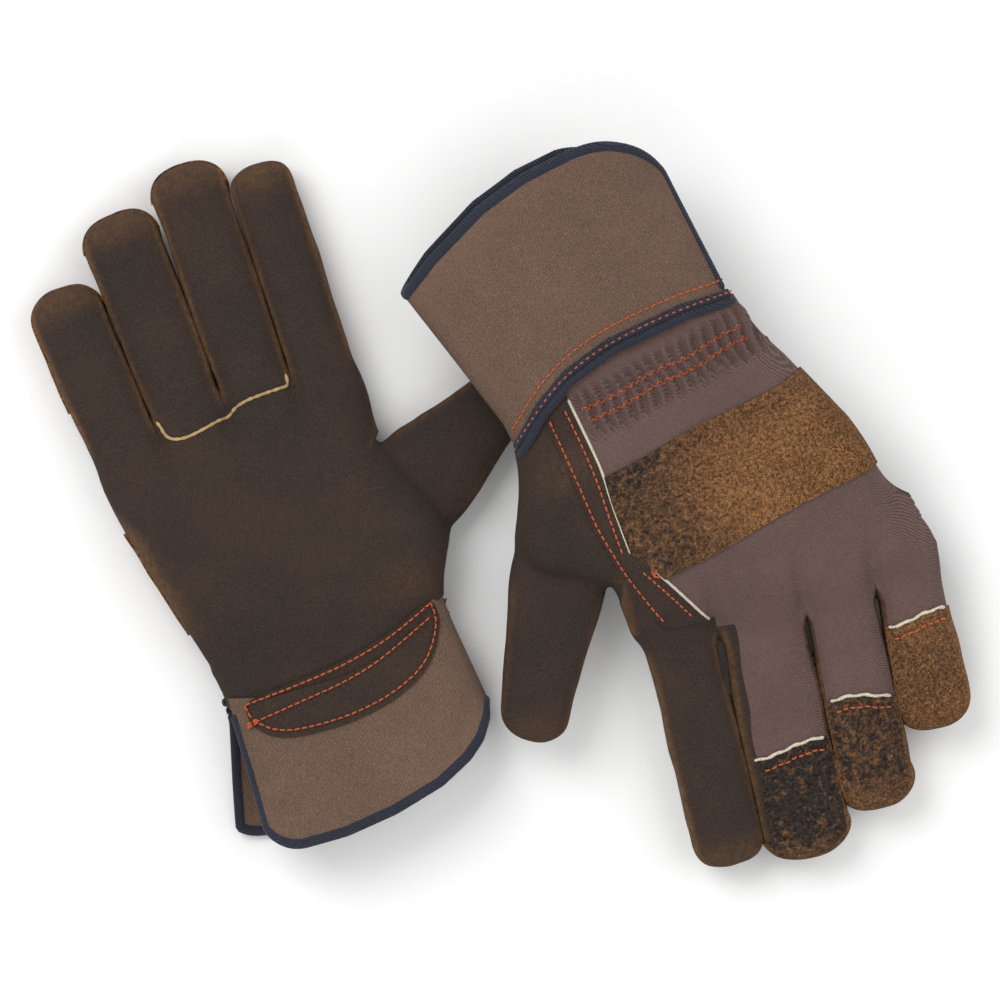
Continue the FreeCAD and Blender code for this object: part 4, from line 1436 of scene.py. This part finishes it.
class GloveSizes(bpy.types.PropertyGroup):
    """The thicknesses and widths that shape the sewing."""

    leather: size_property("Leather", "Thickness of the split leather", 0.0015, 0.0006, 0.0022)
    canvas: size_property("Canvas", "Thickness of the lined cloth", 0.0013, 0.0005, 0.002)
    overlay: size_property(
        "Overlay", "How far the knuckle strap stands up from the back", 0.001, 0.0003, 0.0015)
    binding: size_property("Binding", "Width of the hem tape that shows", 0.0042, 0.002, 0.007)


class GLOVES_OT_stalls(bpy.types.Operator):
    """Make the fingers and thumbs with their side strips and leather tips"""

    bl_idname = "gloves.stalls"
    bl_label = "Fingers and Thumbs"

    def execute(self, context):
        for glove in pair():
            for stall in glove.order:
                make_stall(glove, stall)
        return {"FINISHED"}


class GLOVES_OT_hands(bpy.types.Operator):
    """Make the palms and backs with the knuckle strap and side panel"""

    bl_idname = "gloves.hands"
    bl_label = "Hands"

    def execute(self, context):
        for glove in pair():
            make_hand(glove)
        return {"FINISHED"}


class GLOVES_OT_cuffs(bpy.types.Operator):
    """Make the two halves of each stiff cuff"""

    bl_idname = "gloves.cuffs"
    bl_label = "Cuffs"

    def execute(self, context):
        for glove in pair():
            make_cuff(glove)
        return {"FINISHED"}


class GLOVES_OT_bindings(bpy.types.Operator):
    """Make the hem tapes and the wrist pipings"""

    bl_idname = "gloves.bindings"
    bl_label = "Bindings"

    def execute(self, context):
        for glove in pair():
            make_binding(glove)
        return {"FINISHED"}


class GLOVES_OT_patches(bpy.types.Operator):
    """Make the half-moon patches over the palm side of the wrists"""

    bl_idname = "gloves.patches"
    bl_label = "Wrist Patches"

    def execute(self, context):
        for glove in pair():
            make_patch(glove)
        return {"FINISHED"}


class GLOVES_OT_welts(bpy.types.Operator):
    """Make the raw leather edges in the seams"""

    bl_idname = "gloves.welts"
    bl_label = "Welts"

    def execute(self, context):
        for glove in pair():
            make_welts(glove)
        return {"FINISHED"}


class GLOVES_OT_stitching(bpy.types.Operator):
    """Make the rows of thread"""

    bl_idname = "gloves.stitching"
    bl_label = "Stitching"

    def execute(self, context):
        for glove in pair():
            make_stitching(glove)
        return {"FINISHED"}


class GLOVES_OT_stage(bpy.types.Operator):
    """Make the floor, the lights and the camera"""

    bl_idname = "gloves.stage"
    bl_label = "Stage"

    def execute(self, context):
        make_stage()
        return {"FINISHED"}


OPERATORS = (GLOVES_OT_stalls, GLOVES_OT_hands, GLOVES_OT_cuffs, GLOVES_OT_bindings, GLOVES_OT_patches,
             GLOVES_OT_welts, GLOVES_OT_stitching, GLOVES_OT_stage)


class GLOVES_PT_panel(bpy.types.Panel):
    """The gloves' pieces, sizes and colours."""

    bl_idname = "GLOVES_PT_panel"
    bl_label = "Work Gloves"
    bl_space_type = "VIEW_3D"
    bl_region_type = "UI"
    bl_category = "Gloves"

    def draw(self, context):
        """Lays out the sizes, the colours and a button for each group of pieces."""
        for group in (context.scene.glove_sizes, context.scene.glove_colours):
            for field in group.__annotations__:
                self.layout.prop(group, field)
        for operator in OPERATORS:
            self.layout.operator(operator.bl_idname)


CLASSES = (GloveSizes, GloveColours, *OPERATORS, GLOVES_PT_panel)


def register():
    """Adds the classes and the settings that a scene carries."""
    for cls in CLASSES:
        bpy.utils.register_class(cls)
    bpy.types.Scene.glove_sizes = bpy.props.PointerProperty(type=GloveSizes)
    bpy.types.Scene.glove_colours = bpy.props.PointerProperty(type=GloveColours)


def unregister():
    """Takes them away again."""
    del bpy.types.Scene.glove_colours
    del bpy.types.Scene.glove_sizes
    for cls in reversed(CLASSES):
        bpy.utils.unregister_class(cls)


def main():
    """Makes the pair and its stage."""
    register()
    for operator in OPERATORS:
        getattr(bpy.ops.gloves, operator.bl_idname.split(".")[1])()
    bpy.context.view_layer.update()


if __name__ == "__main__":
    main()
